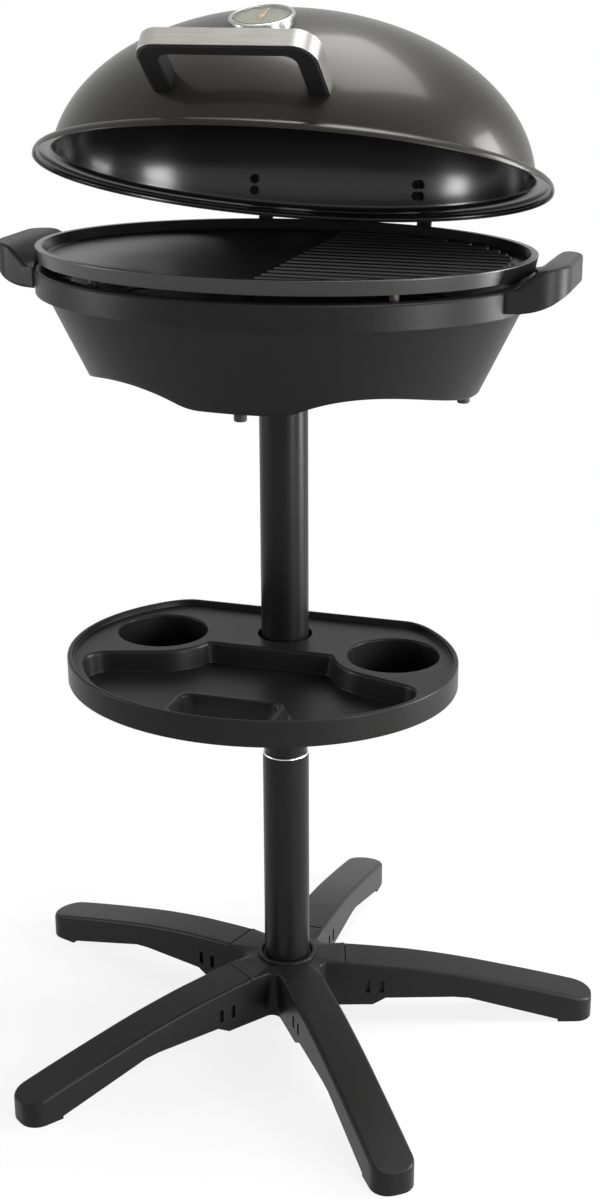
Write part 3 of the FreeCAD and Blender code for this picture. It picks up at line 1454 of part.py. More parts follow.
doc.recompute()
broken = [thing.Name for thing in doc.Objects if {"Invalid", "Error"} & set(thing.State)]
if broken:
    raise RuntimeError(f"objects that failed: {broken}")
for piece in nodes:
    if piece.Shape.isNull() or not piece.Shape.isValid() or not piece.Shape.Solids:
        raise RuntimeError(f"{piece.Label} has no valid solid")
os.makedirs("parts", exist_ok=True)
for piece in nodes:
    piece.Shape.exportStep(f"parts/{piece.Label}.step")
    print(f"{piece.Label}: {len(piece.Shape.Solids)} solids, {piece.Shape.Volume / 1000:.1f} cm3")
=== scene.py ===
# An electric barbecue on a pole: star base, tray, oval bowl with a grill plate, and a hinged dome lid.
# Lengths are in metres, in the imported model's own frame: front is -Y and the floor is z = 0.
import json
from math import acos, asin, atan2, copysign, cos, pi, radians, remainder, sin, sqrt, tan

import bmesh
import bpy
from mathutils import Matrix, Quaternion, Vector


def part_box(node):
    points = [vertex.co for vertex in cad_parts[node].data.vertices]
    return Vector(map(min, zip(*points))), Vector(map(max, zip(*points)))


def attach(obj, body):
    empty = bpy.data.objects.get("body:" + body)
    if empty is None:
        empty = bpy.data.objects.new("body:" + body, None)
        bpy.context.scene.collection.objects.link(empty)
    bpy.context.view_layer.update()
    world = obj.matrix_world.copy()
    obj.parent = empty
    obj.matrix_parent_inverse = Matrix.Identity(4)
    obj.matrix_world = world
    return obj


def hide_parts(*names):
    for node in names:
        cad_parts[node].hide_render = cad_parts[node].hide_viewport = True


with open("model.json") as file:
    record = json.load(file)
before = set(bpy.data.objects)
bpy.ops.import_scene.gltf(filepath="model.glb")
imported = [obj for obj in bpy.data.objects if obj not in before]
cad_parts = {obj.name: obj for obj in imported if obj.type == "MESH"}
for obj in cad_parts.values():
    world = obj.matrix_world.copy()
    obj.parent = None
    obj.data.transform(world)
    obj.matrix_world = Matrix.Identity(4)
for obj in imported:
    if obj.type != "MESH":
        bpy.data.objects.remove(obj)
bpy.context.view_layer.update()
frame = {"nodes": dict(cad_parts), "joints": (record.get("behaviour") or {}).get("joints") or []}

scene = bpy.context.scene


# Camera: a standing photographer a little to the right of the front, looking down at the grill.
# The place and lens were fitted to the photograph with the pole as the scale.
camera_heading = Vector((-0.2999, 0.9540, 0.0))
camera_pitch = radians(19.71)
camera_roll = radians(-0.2)


def placed(name, data):
    """A new object in the scene."""
    piece = bpy.data.objects.new(name, data)
    scene.collection.objects.link(piece)
    return piece


camera = placed("camera", bpy.data.cameras.new("camera"))
camera.data.sensor_width = 36.0
camera.data.lens = 56.1
camera.data.shift_x = -0.00146
camera.location = (0.5484, -1.6877, 1.1156)
camera_aim = camera_heading * cos(camera_pitch) - Vector((0, 0, sin(camera_pitch)))
camera.rotation_mode = "QUATERNION"
camera.rotation_quaternion = camera_aim.to_track_quat("-Z", "Y") @ Quaternion((0, 0, 1), camera_roll)
scene.camera = camera
scene.view_settings.view_transform = "Standard"


# Studio: a white room, a small soft box at the left, two taller ones at the right and a wide one above.
# Each lamp is aimed at the bowl, and the room itself gives a little even fill.
studio_target = Vector((0.0, 0.0, 0.80))
for lamp_name, lamp_place, lamp_width, lamp_height, lamp_power in (
    ("soft_box_left", (-2.00, -0.80, 0.78), 0.40, 0.6, 18.0),
    ("soft_box_right", (1.90, -1.10, 0.75), 0.6, 1.1, 42.0),
    ("soft_box_edge", (2.00, 0.60, 0.95), 0.7, 1.9, 104.0),
    ("soft_box_top", (0.30, 0.35, 2.90), 1.8, 1.3, 80.0),
):
    lamp = placed(lamp_name, bpy.data.lights.new(lamp_name, "AREA"))
    lamp.data.shape = "RECTANGLE"
    lamp.data.size = lamp_width
    lamp.data.size_y = lamp_height
    lamp.data.energy = lamp_power
    lamp.location = lamp_place
    lamp.rotation_mode = "QUATERNION"
    lamp.rotation_quaternion = (studio_target - lamp.location).to_track_quat("-Z", "Y")


class Wire:
    """A node's value that takes part in sums: each operator adds one Math node."""

    def __init__(self, tree, socket):
        self.tree = tree
        self.socket = socket

    def math(self, operation, *terms):
        node = self.tree.nodes.new("ShaderNodeMath")
        node.operation = operation
        for socket, term in zip(node.inputs, terms):
            plug(self.tree, socket, term)
        return Wire(self.tree, node.outputs[0])

    def __add__(self, other):
        return self.math("ADD", self, other)

    def __sub__(self, other):
        return self.math("SUBTRACT", self, other)

    def __rsub__(self, other):
        return self.math("SUBTRACT", other, self)

    def __mul__(self, other):
        return self.math("MULTIPLY", self, other)

    def __truediv__(self, other):
        return self.math("DIVIDE", self, other)

    __radd__ = __add__
    __rmul__ = __mul__


def plug(tree, socket, term):
    """Links a wire to a socket, or sets the socket's own value."""
    if isinstance(term, Wire):
        tree.links.new(term.socket, socket)
    else:
        socket.default_value = term


class Graph:
    """A node tree: node() adds any node, fills its sockets and gives its outputs."""

    def __init__(self, tree):
        self.tree = tree

    def node(self, kind, sockets=None, settings=None):
        node = self.tree.nodes.new(kind)
        for name, value in (settings or {}).items():
            setattr(node, name, value)
        for name, term in (sockets or {}).items():
            plug(self.tree, next(s for s in node.inputs if name in (s.identifier, s.name)), term)
        return {s.name: Wire(self.tree, s) for s in node.outputs if s.enabled}


class Finish(Graph):
    """A material: surface() ends it in a Principled shader."""

    def __init__(self, name, holder=None):
        self.name = name
        self.material = holder or bpy.data.materials.new(name)
        self.material.use_nodes = True
        super().__init__(self.material.node_tree)
        self.tree.nodes.clear()

    def place(self, scale):
        spot = self.node("ShaderNodeTexCoord")["Object"]
        return self.node("ShaderNodeMapping", {"Vector": spot, "Scale": scale})["Vector"]

    def noise(self, scale, detail=2.0, stretch=(1, 1, 1)):
        sockets = {"Vector": self.place(stretch), "Scale": scale, "Detail": detail}
        return self.node("ShaderNodeTexNoise", sockets)["Fac"]

    def mix(self, factor, first, second):
        sockets = {"Factor_Float": factor, "A_Color": (*first, 1), "B_Color": (*second, 1)}
        return self.node("ShaderNodeMix", sockets, {"data_type": "RGBA"})["Result"]

    def bump(self, height, strength, distance, before=None):
        sockets = {"Height": height, "Strength": strength, "Distance": distance}
        if before:
            sockets["Normal"] = before
        return self.node("ShaderNodeBump", sockets)["Normal"]

    def surface(self, **sockets):
        named = {k.replace("_", " ").title().replace("Ior", "IOR"): term for k, term in sockets.items()}
        self.end(self.node("ShaderNodeBsdfPrincipled", named)["BSDF"])
        return self

    def end(self, shader):
        kind = "World" if isinstance(self.material, bpy.types.World) else "Material"
        self.node("ShaderNodeOutput" + kind, {"Surface": shader})


def seen_by_eye(finish):
    """One for what the camera sees, straight, in a gloss or through glass, and nought for other light."""
    path = finish.node("ShaderNodeLightPath")
    straight = path["Is Camera Ray"]
    bent = straight.math("MAXIMUM", path["Is Glossy Ray"], path["Is Transmission Ray"])
    return straight.math("MAXIMUM", straight, bent)


room = Finish("room", scene.world or bpy.data.worlds.new("room"))
scene.world = room.material
room_fill = room.node("ShaderNodeBackground", {"Color": (0.95, 0.97, 1.0, 1), "Strength": 0.12})
room_seen = room.node("ShaderNodeBackground", {"Color": (1, 1, 1, 1), "Strength": 1.0})
room.end(room.node("ShaderNodeMixShader", {
    "Fac": seen_by_eye(room), "Shader": room_fill["Background"], "Shader_001": room_seen["Background"],
})["Shader"])


# Floor: a wide sheet of white paper that takes the grill's soft shadow.
# To the camera it grows as bright as the room behind it, so no horizon shows.
floor_half = 8.0
floor_shadow_reach = 1.5
floor_shadow_share = 0.18
floor_mesh = bpy.data.meshes.new("floor")
floor_corners = [(x * floor_half, y * floor_half, 0.0) for x, y in ((-1, -1), (1, -1), (1, 1), (-1, 1))]
floor_mesh.from_pydata(floor_corners, [], [(0, 1, 2, 3)])
floor = placed("floor", floor_mesh)
paper = Finish("white_paper")
paper_matte = paper.node("ShaderNodeBsdfDiffuse", {
    "Color": paper.mix(paper.noise(40.0), (0.72, 0.72, 0.72), (0.75, 0.75, 0.75)),
})
paper_glow = paper.node("ShaderNodeEmission", {"Color": (1, 1, 1, 1), "Strength": 1.0})
paper_near = paper.node("ShaderNodeTexGradient", {
    "Vector": paper.place([1.0 / floor_shadow_reach] * 3),
}, {"gradient_type": "SPHERICAL"})["Fac"]
paper.end(paper.node("ShaderNodeMixShader", {
    "Fac": seen_by_eye(paper) * (1 - floor_shadow_share * paper_near),
    "Shader": paper_matte["BSDF"], "Shader_001": paper_glow["Emission"],
})["Shader"])
floor.data.materials.append(paper.material)


# Base hub: one charcoal moulding with five stubs, a raised collar round the pole, and soft inner corners.
# The legs clip on to its stubs, and a hair-thin seam shows where they meet.
def solid(name, points, faces):
    """A mesh object with doubles merged and faces turned outwards."""
    mesh = bpy.data.meshes.new(name)
    mesh.from_pydata(points, [], faces)
    shape = bmesh.new()
    shape.from_mesh(mesh)
    bmesh.ops.remove_doubles(shape, verts=shape.verts, dist=1e-6)
    bmesh.ops.dissolve_degenerate(shape, edges=shape.edges, dist=1e-6)
    bmesh.ops.recalc_face_normals(shape, faces=shape.faces)
    shape.to_mesh(mesh)
    shape.free()
    return placed(name, mesh)


def lofted(name, loops, ring=False):
    """A skin over loops of equal count; a ring closes on itself, and otherwise both ends are capped."""
    count = len(loops[0])
    points = [point for loop in loops for point in loop]
    faces = []
    for row in range(len(loops) if ring else len(loops) - 1):
        here = row * count
        there = (row + 1) % len(loops) * count
        for column in range(count):
            beside = (column + 1) % count
            faces.append((here + column, here + beside, there + beside, there + column))
    if not ring:
        faces.append(tuple(reversed(range(count))))
        faces.append(tuple(range(len(points) - count, len(points))))
    return solid(name, points, faces)


def spaced(first, last, steps):
    """Values at equal steps, with both ends."""
    return [first + (last - first) * step / steps for step in range(steps + 1)]


def outline(*corners, steps=6):
    """A closed outline of corners (u, v) or (u, v, radius): a corner with a radius becomes an arc."""
    path = []
    count = len(corners)
    for index, corner in enumerate(corners):
        here = Vector(corner[:2])
        if len(corner) == 2:
            path.append(tuple(here))
            continue
        beside = [Vector(corners[near % count][:2]) for near in (index - 1, index + 1)]
        before, after = [(point - here).normalized() for point in beside]
        half = before.angle(after) / 2
        centre = here + (before + after).normalized() * (corner[2] / sin(half))
        first, last = [here + way * (corner[2] / tan(half)) - centre for way in (before, after)]
        turn = copysign(pi - 2 * half, first.x * last.y - first.y * last.x)
        for angle in spaced(0, turn, steps):
            path.append(tuple(centre + Matrix.Rotation(angle, 2) @ first))
    return path


def circle(steps):
    """The cosine and sine at equal steps round a full turn."""
    return [(cos(angle), sin(angle)) for angle in spaced(0, 2 * pi, steps)[:-1]]


def turned(name, profile, steps=96, centre=(0, 0), half=(0, 0)):
    """A closed profile of (radius, z) turned round an upright axis, or of (offset, z) led round an oval."""
    x, y = centre
    return lofted(name, [
        [(x + (half[0] + r) * c, y + (half[1] + r) * s, z) for r, z in profile] for c, s in circle(steps)
    ], ring=True)


def quarter(radius, steps=4):
    """How far a rounded edge is drawn in and down, at equal steps from its side to its top."""
    leans = spaced(0, pi / 2, steps)
    return [(radius * (1 - cos(lean)), radius * (1 - sin(lean))) for lean in leans]


def plain(piece):
    """Leaves the result of a piece's modifiers as its own plain mesh."""
    graph = bpy.context.evaluated_depsgraph_get()
    mesh = bpy.data.meshes.new_from_object(piece.evaluated_get(graph))
    piece.modifiers.clear()
    piece.data = mesh
    return piece


def carved(piece, tools, operation="DIFFERENCE"):
    """Cuts tools from a piece or joins them to it, and deletes the tools."""
    for tool in tools:
        step = piece.modifiers.new("carve", "BOOLEAN")
        step.operation = operation
        step.solver = "EXACT"
        step.object = tool
        plain(piece)
        bpy.data.objects.remove(tool)
    return piece


def eased(piece, width):
    """Rounds a piece's sharp edges."""
    step = piece.modifiers.new("ease", "BEVEL")
    step.width = width
    step.segments = 3
    step.limit_method = "ANGLE"
    step.angle_limit = radians(35)
    return plain(piece)


def finished(piece, finish, body, *nodes, slot=None, angle=40):
    """Shades a piece, gives it its finish, and puts it in the place of CAD nodes.
    Its slot argument is not used."""
    piece.data.shade_smooth()
    piece.data.set_sharp_from_angle(angle=radians(angle))
    step = piece.modifiers.new("level", "WEIGHTED_NORMAL")
    step.keep_sharp = True
    plain(piece)
    if not piece.data.materials:
        piece.data.materials.append(finish.material)
    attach(piece, body)
    if nodes:
        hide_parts(*nodes)


def joined(name, pieces):
    """Several pieces as one object."""
    shape = bmesh.new()
    for piece in pieces:
        shape.from_mesh(piece.data)
        bpy.data.objects.remove(piece)
    mesh = bpy.data.meshes.new(name)
    shape.to_mesh(mesh)
    shape.free()
    return placed(name, mesh)


def moulded(name, colour, rough, gloss, grain, depth):
    """Injection-moulded plastic: fine spark-eroded grain and faint cloudy shading."""
    finish = Finish(name)
    fine = finish.noise(grain, 2.0)
    cloud = finish.noise(14.0, 3.0)
    leather = finish.noise(220.0, 4.0)
    dark, pale = [[c * share for c in colour] for share in (0.82, 1.18)]
    return finish.surface(
        base_color=finish.mix(0.5 * cloud + 0.5 * leather, dark, pale), specular_ior_level=gloss,
        roughness=rough - 0.05 + 0.08 * cloud + 0.16 * leather,
        normal=finish.bump(fine, 0.5, depth, finish.bump(leather, 0.25, 3 * depth)),
    )


leg_count = 5
leg_angles = [pi / 2 + 2 * pi * leg / leg_count for leg in range(leg_count)]
leg_width = 0.044
leg_root = 0.063
leg_seam = 0.00005
hub_bottom = 0.0235
hub_top = 0.075
hub_crown = 0.077
hub_core = 0.044
hub_notch = 0.009
hub_shoulders = (0.056, 0.050)
hub_edge = 0.0025
hub_collar = 0.0315
hub_collar_top = 0.080
hub_clear = 0.0006
pole_radius = 0.024
stand_plastic = moulded("stand_plastic", (0.0120, 0.0120, 0.0117), 0.28, 0.11, 1700.0, 0.00006)


def hub_outline():
    """The star's plan, stub by stub, with a concave round on each side of every stub."""
    half = leg_width / 2
    reach = sqrt((hub_core + hub_notch) ** 2 - (half + hub_notch) ** 2)
    start = atan2(half + hub_notch, reach)
    end = leg_root - leg_seam
    side = [(u, half) for u in (end, *hub_shoulders)]
    for angle in spaced(-pi / 2, start - pi, 8):
        side.append((reach + hub_notch * cos(angle), half + hub_notch * (1 + sin(angle))))
    stub = [(u, -v) for u, v in reversed(side)] + [(end, half * share) for share in (-0.5, 0, 0.5)] + side
    return [Matrix.Rotation(angle, 2) @ Vector(point) for angle in leg_angles for point in stub]


star = hub_outline()
star_edge = []
for index, point in enumerate(star):
    along = star[(index + 1) % len(star)] - star[index - 1]
    star_edge.append((point, Vector((along.y, -along.x)).normalized()))
hub_loops = [[(p.x, p.y, hub_bottom) for p in star]]
for inset, drop in quarter(hub_edge):
    hub_loops.append([(*(p - n * inset), hub_top - drop) for p, n in star_edge])
for share in (0.25, 0.5, 0.75, 1.0):
    hub_loops.append([
        (*((p - n * hub_edge).lerp(p.normalized() * (hub_collar - 0.0005), share)),
         hub_top + (hub_crown - hub_top) * share)
        for p, n in star_edge
    ])
hub_ring = turned("hub_collar_ring", outline(
    (pole_radius + hub_clear, hub_top), (hub_collar, hub_top), (hub_collar, hub_collar_top, 0.0012),
    (pole_radius + 6 * hub_clear, hub_collar_top, 0.0008),
    (pole_radius + hub_clear, hub_collar_top - 0.0040),
))
hub = joined("hub_moulding", [lofted("hub_star", hub_loops), hub_ring])
finished(hub, stand_plastic, "stand", "base_hub")


# Legs: five hollow charcoal mouldings with softened upper edges, a drooping top line and a rounded end.
# Two clip windows on each side show where the hub's tongue snaps in, and a rib stiffens the hollow below.
leg_top_line = ((0.063, 0.0750), (0.084, 0.0732), (0.105, 0.0710), (0.130, 0.0682), (0.180, 0.0600),
                (0.231, 0.0490), (0.282, 0.0370), (0.331, 0.0245))
leg_chin = (0.092, 0.0235)
leg_heel = (0.106, 0.0315)
leg_belly = (0.190, 0.032)
leg_foot = (0.293, 0.003)
leg_flat = 0.305
leg_reach = 0.331
leg_tip_round = 0.018
leg_edge = 0.004
leg_wall = 0.003
leg_hollow_start = 0.116
leg_hollow_end = 0.285
leg_rib = 0.003
overshoot = 0.01
window_places = (0.084, 0.099)
window_width = 0.005
window_bottom = 0.038
window_height = 0.014
window_depth = 0.0035


def along_line(points, x):
    """The height of a line of points at a distance, with the corners eased by a cubic."""
    for index in range(len(points) - 1):
        (x0, y0), (x1, y1) = points[index], points[index + 1]
        if x <= x1:
            break
    before = points[max(index - 1, 0)]
    after = points[min(index + 2, len(points) - 1)]
    share = (x - x0) / (x1 - x0)
    slope_in = (y1 - before[1]) / (x1 - before[0]) * (x1 - x0)
    slope_out = (after[1] - y0) / (after[0] - x0) * (x1 - x0)
    cube = share ** 3
    square = share ** 2
    return ((2 * cube - 3 * square + 1) * y0 + (cube - 2 * square + share) * slope_in
            + (3 * square - 2 * cube) * y1 + (cube - square) * slope_out)


def leg_section(reach, low, half):
    """One slice across a leg, with rounded upper edges."""
    high = along_line(leg_top_line, reach)
    ring = [(reach, -half, low), (reach, half, low)]
    ring += [(reach, half - inset, high - drop) for inset, drop in quarter(leg_edge)]
    ring += [(x, -y, z) for x, y, z in reversed(ring[2:])]
    return ring


def leg_under(reach):
    """The height of a leg's lower edge."""
    line = ((leg_root, leg_chin[1]), leg_chin, leg_heel, leg_belly, leg_foot)
    for (x0, y0), (x1, y1) in zip(line, line[1:]):
        if reach <= x1:
            return y0 + (y1 - y0) * (reach - x0) / (x1 - x0)
    return 0.0


def box(name, low, high):
    """A plain box, as a cutting tool."""
    corners = ((low[0], low[1]), (high[0], low[1]), (high[0], high[1]), (low[0], high[1]))
    return lofted(name, [[(x, y, z) for x, y in corners] for z in (low[2], high[2])])


def leg_shape():
    """A leg along +X."""
    half = leg_width / 2
    stations = [leg_root + leg_seam, 0.07, 0.08, 0.09, leg_chin[0], 0.099, leg_heel[0], 0.113, 0.12]
    stations += spaced(0.13, 0.2767, 9) + [leg_foot[0]]
    loops = [leg_section(reach, leg_under(reach), half) for reach in stations]
    loops.append(leg_section(leg_foot[0], 0.0, half))
    loops.append(leg_section(leg_flat, 0.0, half))
    for inset, drop in quarter(leg_tip_round, 6):
        loops.append(leg_section(leg_reach - drop, 0.0, half - inset))
    leg = lofted("leg", loops)
    tools = []
    inside = half - leg_wall
    rib_start = leg_belly[0] - leg_rib / 2
    for start, end in ((leg_hollow_start, rib_start), (rib_start + leg_rib, leg_hollow_end)):
        hollow = []
        for reach in (start, (start + end) / 2, end):
            roof = along_line(leg_top_line, reach) - 2 * leg_wall
            hollow.append([(reach, -inside, -overshoot), (reach, inside, -overshoot),
                           (reach, inside, roof), (reach, -inside, roof)])
        tools.append(lofted("leg_hollow", hollow))
    for place in window_places:
        for side in (-half, half):
            tools.append(box(
                "leg_window", (place, side - window_depth, window_bottom),
                (place + window_width, side + window_depth, window_bottom + window_height),
            ))
    return carved(leg, tools)


leg_pattern = leg_shape()
for angle, leg_name in zip(leg_angles, ("back", "left_rear", "left_front", "right_front", "right_rear")):
    leg_mesh = leg_pattern.data.copy()
    leg_mesh.transform(Matrix.Rotation(angle, 4, "Z"))
    leg = placed(f"leg_{leg_name}_moulding", leg_mesh)
    finished(leg, stand_plastic, "stand", f"leg_{leg_name}", angle=35)
bpy.data.objects.remove(leg_pattern)


# Pole: two steel tubes in satin black powder coat, the upper one swaged to slide into the lower one.
# The lower tube's cut end is bare, so a bright ring shows at the joint.
pole_wall = 0.0018
pole_foot = hub_bottom + 0.005
pole_joint = 0.3145
pole_swage = 0.013
pole_insert = 0.060
pole_cut = 0.0004
pole_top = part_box("upper_pole")[1][2]


def coat(name, broad, fine, tones, rough, relief, **more):
    """A coat whose colour shifts with a broad cloud, and whose fine grain gives the bump."""
    finish = Finish(name)
    cloud = finish.noise(*broad)
    grain = finish.noise(*fine)
    level, by_cloud, by_grain = rough
    return finish.surface(
        base_color=finish.mix(cloud, *tones), roughness=level + by_cloud * cloud + by_grain * grain,
        normal=finish.bump(grain, *relief), **more,
    )


def bare_steel(name, colour, rough, stretch=(1, 1, 1)):
    """Steel with fine grinding lines; stretch draws the lines out along an axis."""
    finish = Finish(name)
    lines = finish.noise(900.0, 2.0, stretch)
    cloud = finish.noise(30.0, 2.0)
    dark = [c * 0.8 for c in colour]
    return finish.surface(
        base_color=finish.mix(lines, dark, colour), metallic=1.0,
        roughness=rough + 0.15 * lines + 0.08 * cloud, normal=finish.bump(lines, 0.25, 0.00005),
    )


pole_lacquer = coat(
    "pole_lacquer", (20.0,), (900.0,), ((0.006, 0.006, 0.006), (0.009, 0.009, 0.009)), (0.26, 0.08, 0.05),
    (0.25, 0.00006), specular_ior_level=0.14,
)
cut_steel = bare_steel("cut_steel", (0.75, 0.74, 0.72), 0.18)
pole_bore = pole_radius - pole_wall
lower_tube = turned("lower_tube", [
    (pole_radius, pole_foot), (pole_radius, pole_joint - 3 * pole_cut),
    (pole_radius - pole_cut, pole_joint - pole_cut), (pole_radius - 2 * pole_cut, pole_joint),
    (pole_bore, pole_joint), (pole_bore, pole_foot),
])
lower_tube.data.materials.append(pole_lacquer.material)
lower_tube.data.materials.append(cut_steel.material)
for face in lower_tube.data.polygons:
    face.material_index = int(face.center.z > pole_joint - 2.75 * pole_cut)
finished(lower_tube, pole_lacquer, "stand", "lower_pole")
insert_radius = pole_bore - 0.0001
insert_low = pole_joint - pole_insert
swage_profile = [
    (pole_radius, pole_top), (pole_bore, pole_top), (insert_radius - pole_wall, pole_joint),
    (insert_radius - pole_wall, insert_low), (insert_radius, insert_low),
]
for share in spaced(0, 1, 8):
    ease = share * share * (3 - 2 * share)
    radius = insert_radius + (pole_radius - insert_radius) * ease
    swage_profile.append((radius, pole_joint + pole_swage * share))
upper_tube = turned("upper_tube", swage_profile)
finished(upper_tube, pole_lacquer, "stand", "upper_pole", angle=50)


# Tray: one fine-grained black moulding with a low rim, two cup wells, a sunk pan and a grip slot.
# Every lip is softly rounded, and the pan's rear wall curves round both cup wells.
tray_half_length = 0.193
tray_half_depth = 0.168
tray_middle = -0.074
tray_back = 0.054
tray_bottom = 0.425
tray_deck = 0.445
tray_rim_top = 0.451
tray_rim = 0.005
tray_wall = 0.003
tray_corner = 0.012
cup_radius = 0.045
cup_floor = 0.400
cup_place = (0.121, -0.029)
cup_border = 0.014
pan_floor = 0.424
pan_rear = -0.046
pan_border = 0.008
pan_side_border = 0.016
pan_round = 0.008
lobe_round = 0.024
lobe_angle = radians(-21)
slot_half = 0.047
slot_rear = -0.164
slot_front = -0.214
slot_border = 0.009
slot_top = 0.438
slot_drop = 0.415
lip = 0.0022
sink = 0.001


def tray_plan(inset):
    """The tray's plan drawn in by an inset: an oval with a straight back and rounded rear corners."""
    length = tray_half_length - inset
    depth = tray_half_depth - inset
    back = tray_back - inset
    rise = asin((back - tray_middle) / depth)
    first = rise - radians(6)
    path = []
    for angle in spaced(pi - first, 2 * pi + first, 180):
        path.append((length * cos(angle), tray_middle + depth * sin(angle)))
    corner = length * cos(rise)
    bends = []
    for end in (path[-1], path[0]):
        side = copysign(1, end[0])
        knee = Vector((side * corner, back))
        goal = Vector((side * (corner - tray_corner), back))
        shares = spaced(0, 1, 8)[1:]
        bends.append([tuple(Vector(end).lerp(knee, t).lerp(knee.lerp(goal, t), t)) for t in shares])
    return path + bends[0] + bends[1][::-1]


def pan_plan(inset):
    """The sunk pan's plan: the tray's front half, passing in front of both cups to a rounded lobe."""
    length = tray_half_length - pan_side_border - inset
    depth = tray_half_depth - pan_border - inset
    rear = pan_rear - inset
    bite = cup_radius + cup_border + inset
    cup = Vector(cup_place)
    inner = Vector((0, rear - pan_round))
    inner.x = cup.x - sqrt((bite + pan_round) ** 2 - (inner.y - cup.y) ** 2)

    def in_oval(angle, inside):
        return Vector(((length - inside) * cos(angle), tray_middle + (depth - inside) * sin(angle)))

    lobe = lobe_round - inset
    outer = in_oval(lobe_angle, lobe)
    start = Vector((cos(lobe_angle) / length, sin(lobe_angle) / depth)).normalized()
    gap = outer - cup
    leave = atan2(gap.y, gap.x) - acos((bite + lobe) / gap.length)

    def arc(centre, radius, first, last, steps):
        turn = remainder(last - first, 2 * pi)
        angles = spaced(first, first + turn, steps)
        return [centre + radius * Vector((cos(angle), sin(angle))) for angle in angles]

    def heading(vector):
        return atan2(vector.y, vector.x)

    half = [Vector((inner.x * share, rear)) for share in (0.0, 0.35, 0.7)]
    half += arc(inner, pan_round, pi / 2, heading(cup - inner), 8)
    half += arc(cup, bite, heading(inner - cup), leave, 12)[1:]
    half += arc(outer, lobe, leave + pi, heading(start), 16)
    half += [in_oval(angle, 0.0) for angle in spaced(lobe_angle, -pi / 2, 44)[2:-1]]
    right = [tuple(p) for p in half] + [(0.0, tray_middle - depth)]
    return right + [(-x, y) for x, y in reversed(right[1:-1])]


def slot_plan(inset):
    """The grip slot's plan: straight at the back, and following the tray's front edge at the front."""
    half = slot_half - inset
    front = slot_front + inset
    left = [(-half, slot_rear - inset, 0.010), (-half, front + 0.008, 0.010), (-half * 0.55, front, 0.012)]
    return outline(*left, *[(-x, y, radius) for x, y, radius in reversed(left)])


def layered(name, plan, layers):
    """A skin through one plan at several insets and heights."""
    return lofted(name, [[(x, y, z) for x, y in plan(inset)] for inset, z in layers])


lip_layers = [(-inset, tray_deck - drop) for inset, drop in quarter(lip)]
tray = layered("tray_moulding", tray_plan, [
    (0.0014, tray_bottom), (0.0004, tray_bottom + 0.0004), (0.0, tray_bottom + 0.0014),
    (0.0, tray_rim_top - 0.0020), (0.0003, tray_rim_top - 0.0010), (0.0010, tray_rim_top - 0.0003),
    (0.0020, tray_rim_top),
])
carved(tray, [layered("tray_under", tray_plan, [
    (tray_wall, tray_bottom - overshoot), (tray_wall, tray_deck - tray_wall),
])])
pan_body = layered("pan_body", pan_plan, [
    (0.0030, pan_floor - tray_wall), (0.0006, pan_floor), (0.0, tray_deck - sink),
])
cup_outside = cup_radius + tray_wall
cup_places = [(side * cup_place[0], cup_place[1]) for side in (-1, 1)]
cup_bodies = [turned("cup_body", [
    (0.0, cup_floor - tray_wall), (cup_radius - 0.003, cup_floor - tray_wall), (cup_radius, cup_floor),
    (cup_outside, cup_floor + 0.004), (cup_outside, tray_deck - sink), (0.0, tray_deck - sink),
], centre=place) for place in cup_places]
tray_boss = turned("tray_boss", [
    (0.0, tray_bottom), (pole_radius + 0.009, tray_bottom), (pole_radius + 0.009, tray_deck - sink),
    (0.0, tray_deck - sink),
])
carved(tray, [pan_body, *cup_bodies, tray_boss], "UNION")
pan_space = layered("pan_space", pan_plan, [
    (tray_wall + 0.0018, pan_floor), (tray_wall + 0.0005, pan_floor + 0.0003),
    (tray_wall, pan_floor + 0.0014), (0.0008, tray_deck - lip - sink),
] + lip_layers + [(-lip, tray_deck + sink)])
cup_spaces = [turned("cup_space", [
    (0.0, cup_floor), (cup_radius - 0.0045, cup_floor), (cup_radius - 0.0020, cup_floor + 0.0010),
    (cup_radius - 0.0010, cup_floor + 0.0040),
] + [(cup_radius - inset, z) for inset, z in lip_layers] + [
    (cup_radius + lip, tray_deck + sink), (0.0, tray_deck + sink),
], centre=place) for place in cup_places]
pole_space = turned("pole_space", [
    (0.0, tray_bottom - overshoot), (pole_radius + 0.003, tray_bottom - overshoot),
] + [(pole_radius + 0.003 - inset * 0.6, z) for inset, z in lip_layers] + [
    (pole_radius + 0.005, tray_deck + sink), (0.0, tray_deck + sink),
])
deck_space = layered("deck_space", tray_plan, [
    (tray_rim + 0.0015, tray_deck), (tray_rim + 0.0003, tray_deck + 0.0007),
    (tray_rim, tray_deck + 0.0018), (tray_rim - 0.0004, tray_rim_top - 0.0012),
    (tray_rim - 0.0014, tray_rim_top - 0.0003), (tray_rim - 0.0024, tray_rim_top),
    (tray_rim - 0.0024, tray_rim_top + 0.005),
])
carved(tray, [pan_space, *cup_spaces, pole_space, deck_space])
slot_wall = layered("slot_wall", slot_plan, [
    (-0.0030, slot_drop), (-0.0034, pan_floor), (-slot_border - 0.003, pan_floor),
    (-slot_border, pan_floor + 0.0016), (-slot_border + 0.002, slot_top - 0.0040),
    (-slot_border + 0.0036, slot_top - 0.0010), (-slot_border + 0.0055, slot_top),
])
slot_limit = layered("slot_limit", tray_plan, [(0.002, slot_drop - overshoot), (0.002, tray_rim_top)])
carved(tray, [carved(slot_wall, [slot_limit], "INTERSECT")], "UNION")
carved(tray, [layered("slot_space", slot_plan, [
    (0.0, slot_drop - overshoot), (0.0, slot_top - 0.0030), (-0.0006, slot_top - 0.0012),
    (-lip, slot_top), (-lip, tray_rim_top),
])])
finished(tray, stand_plastic, "stand", "tray", angle=32)


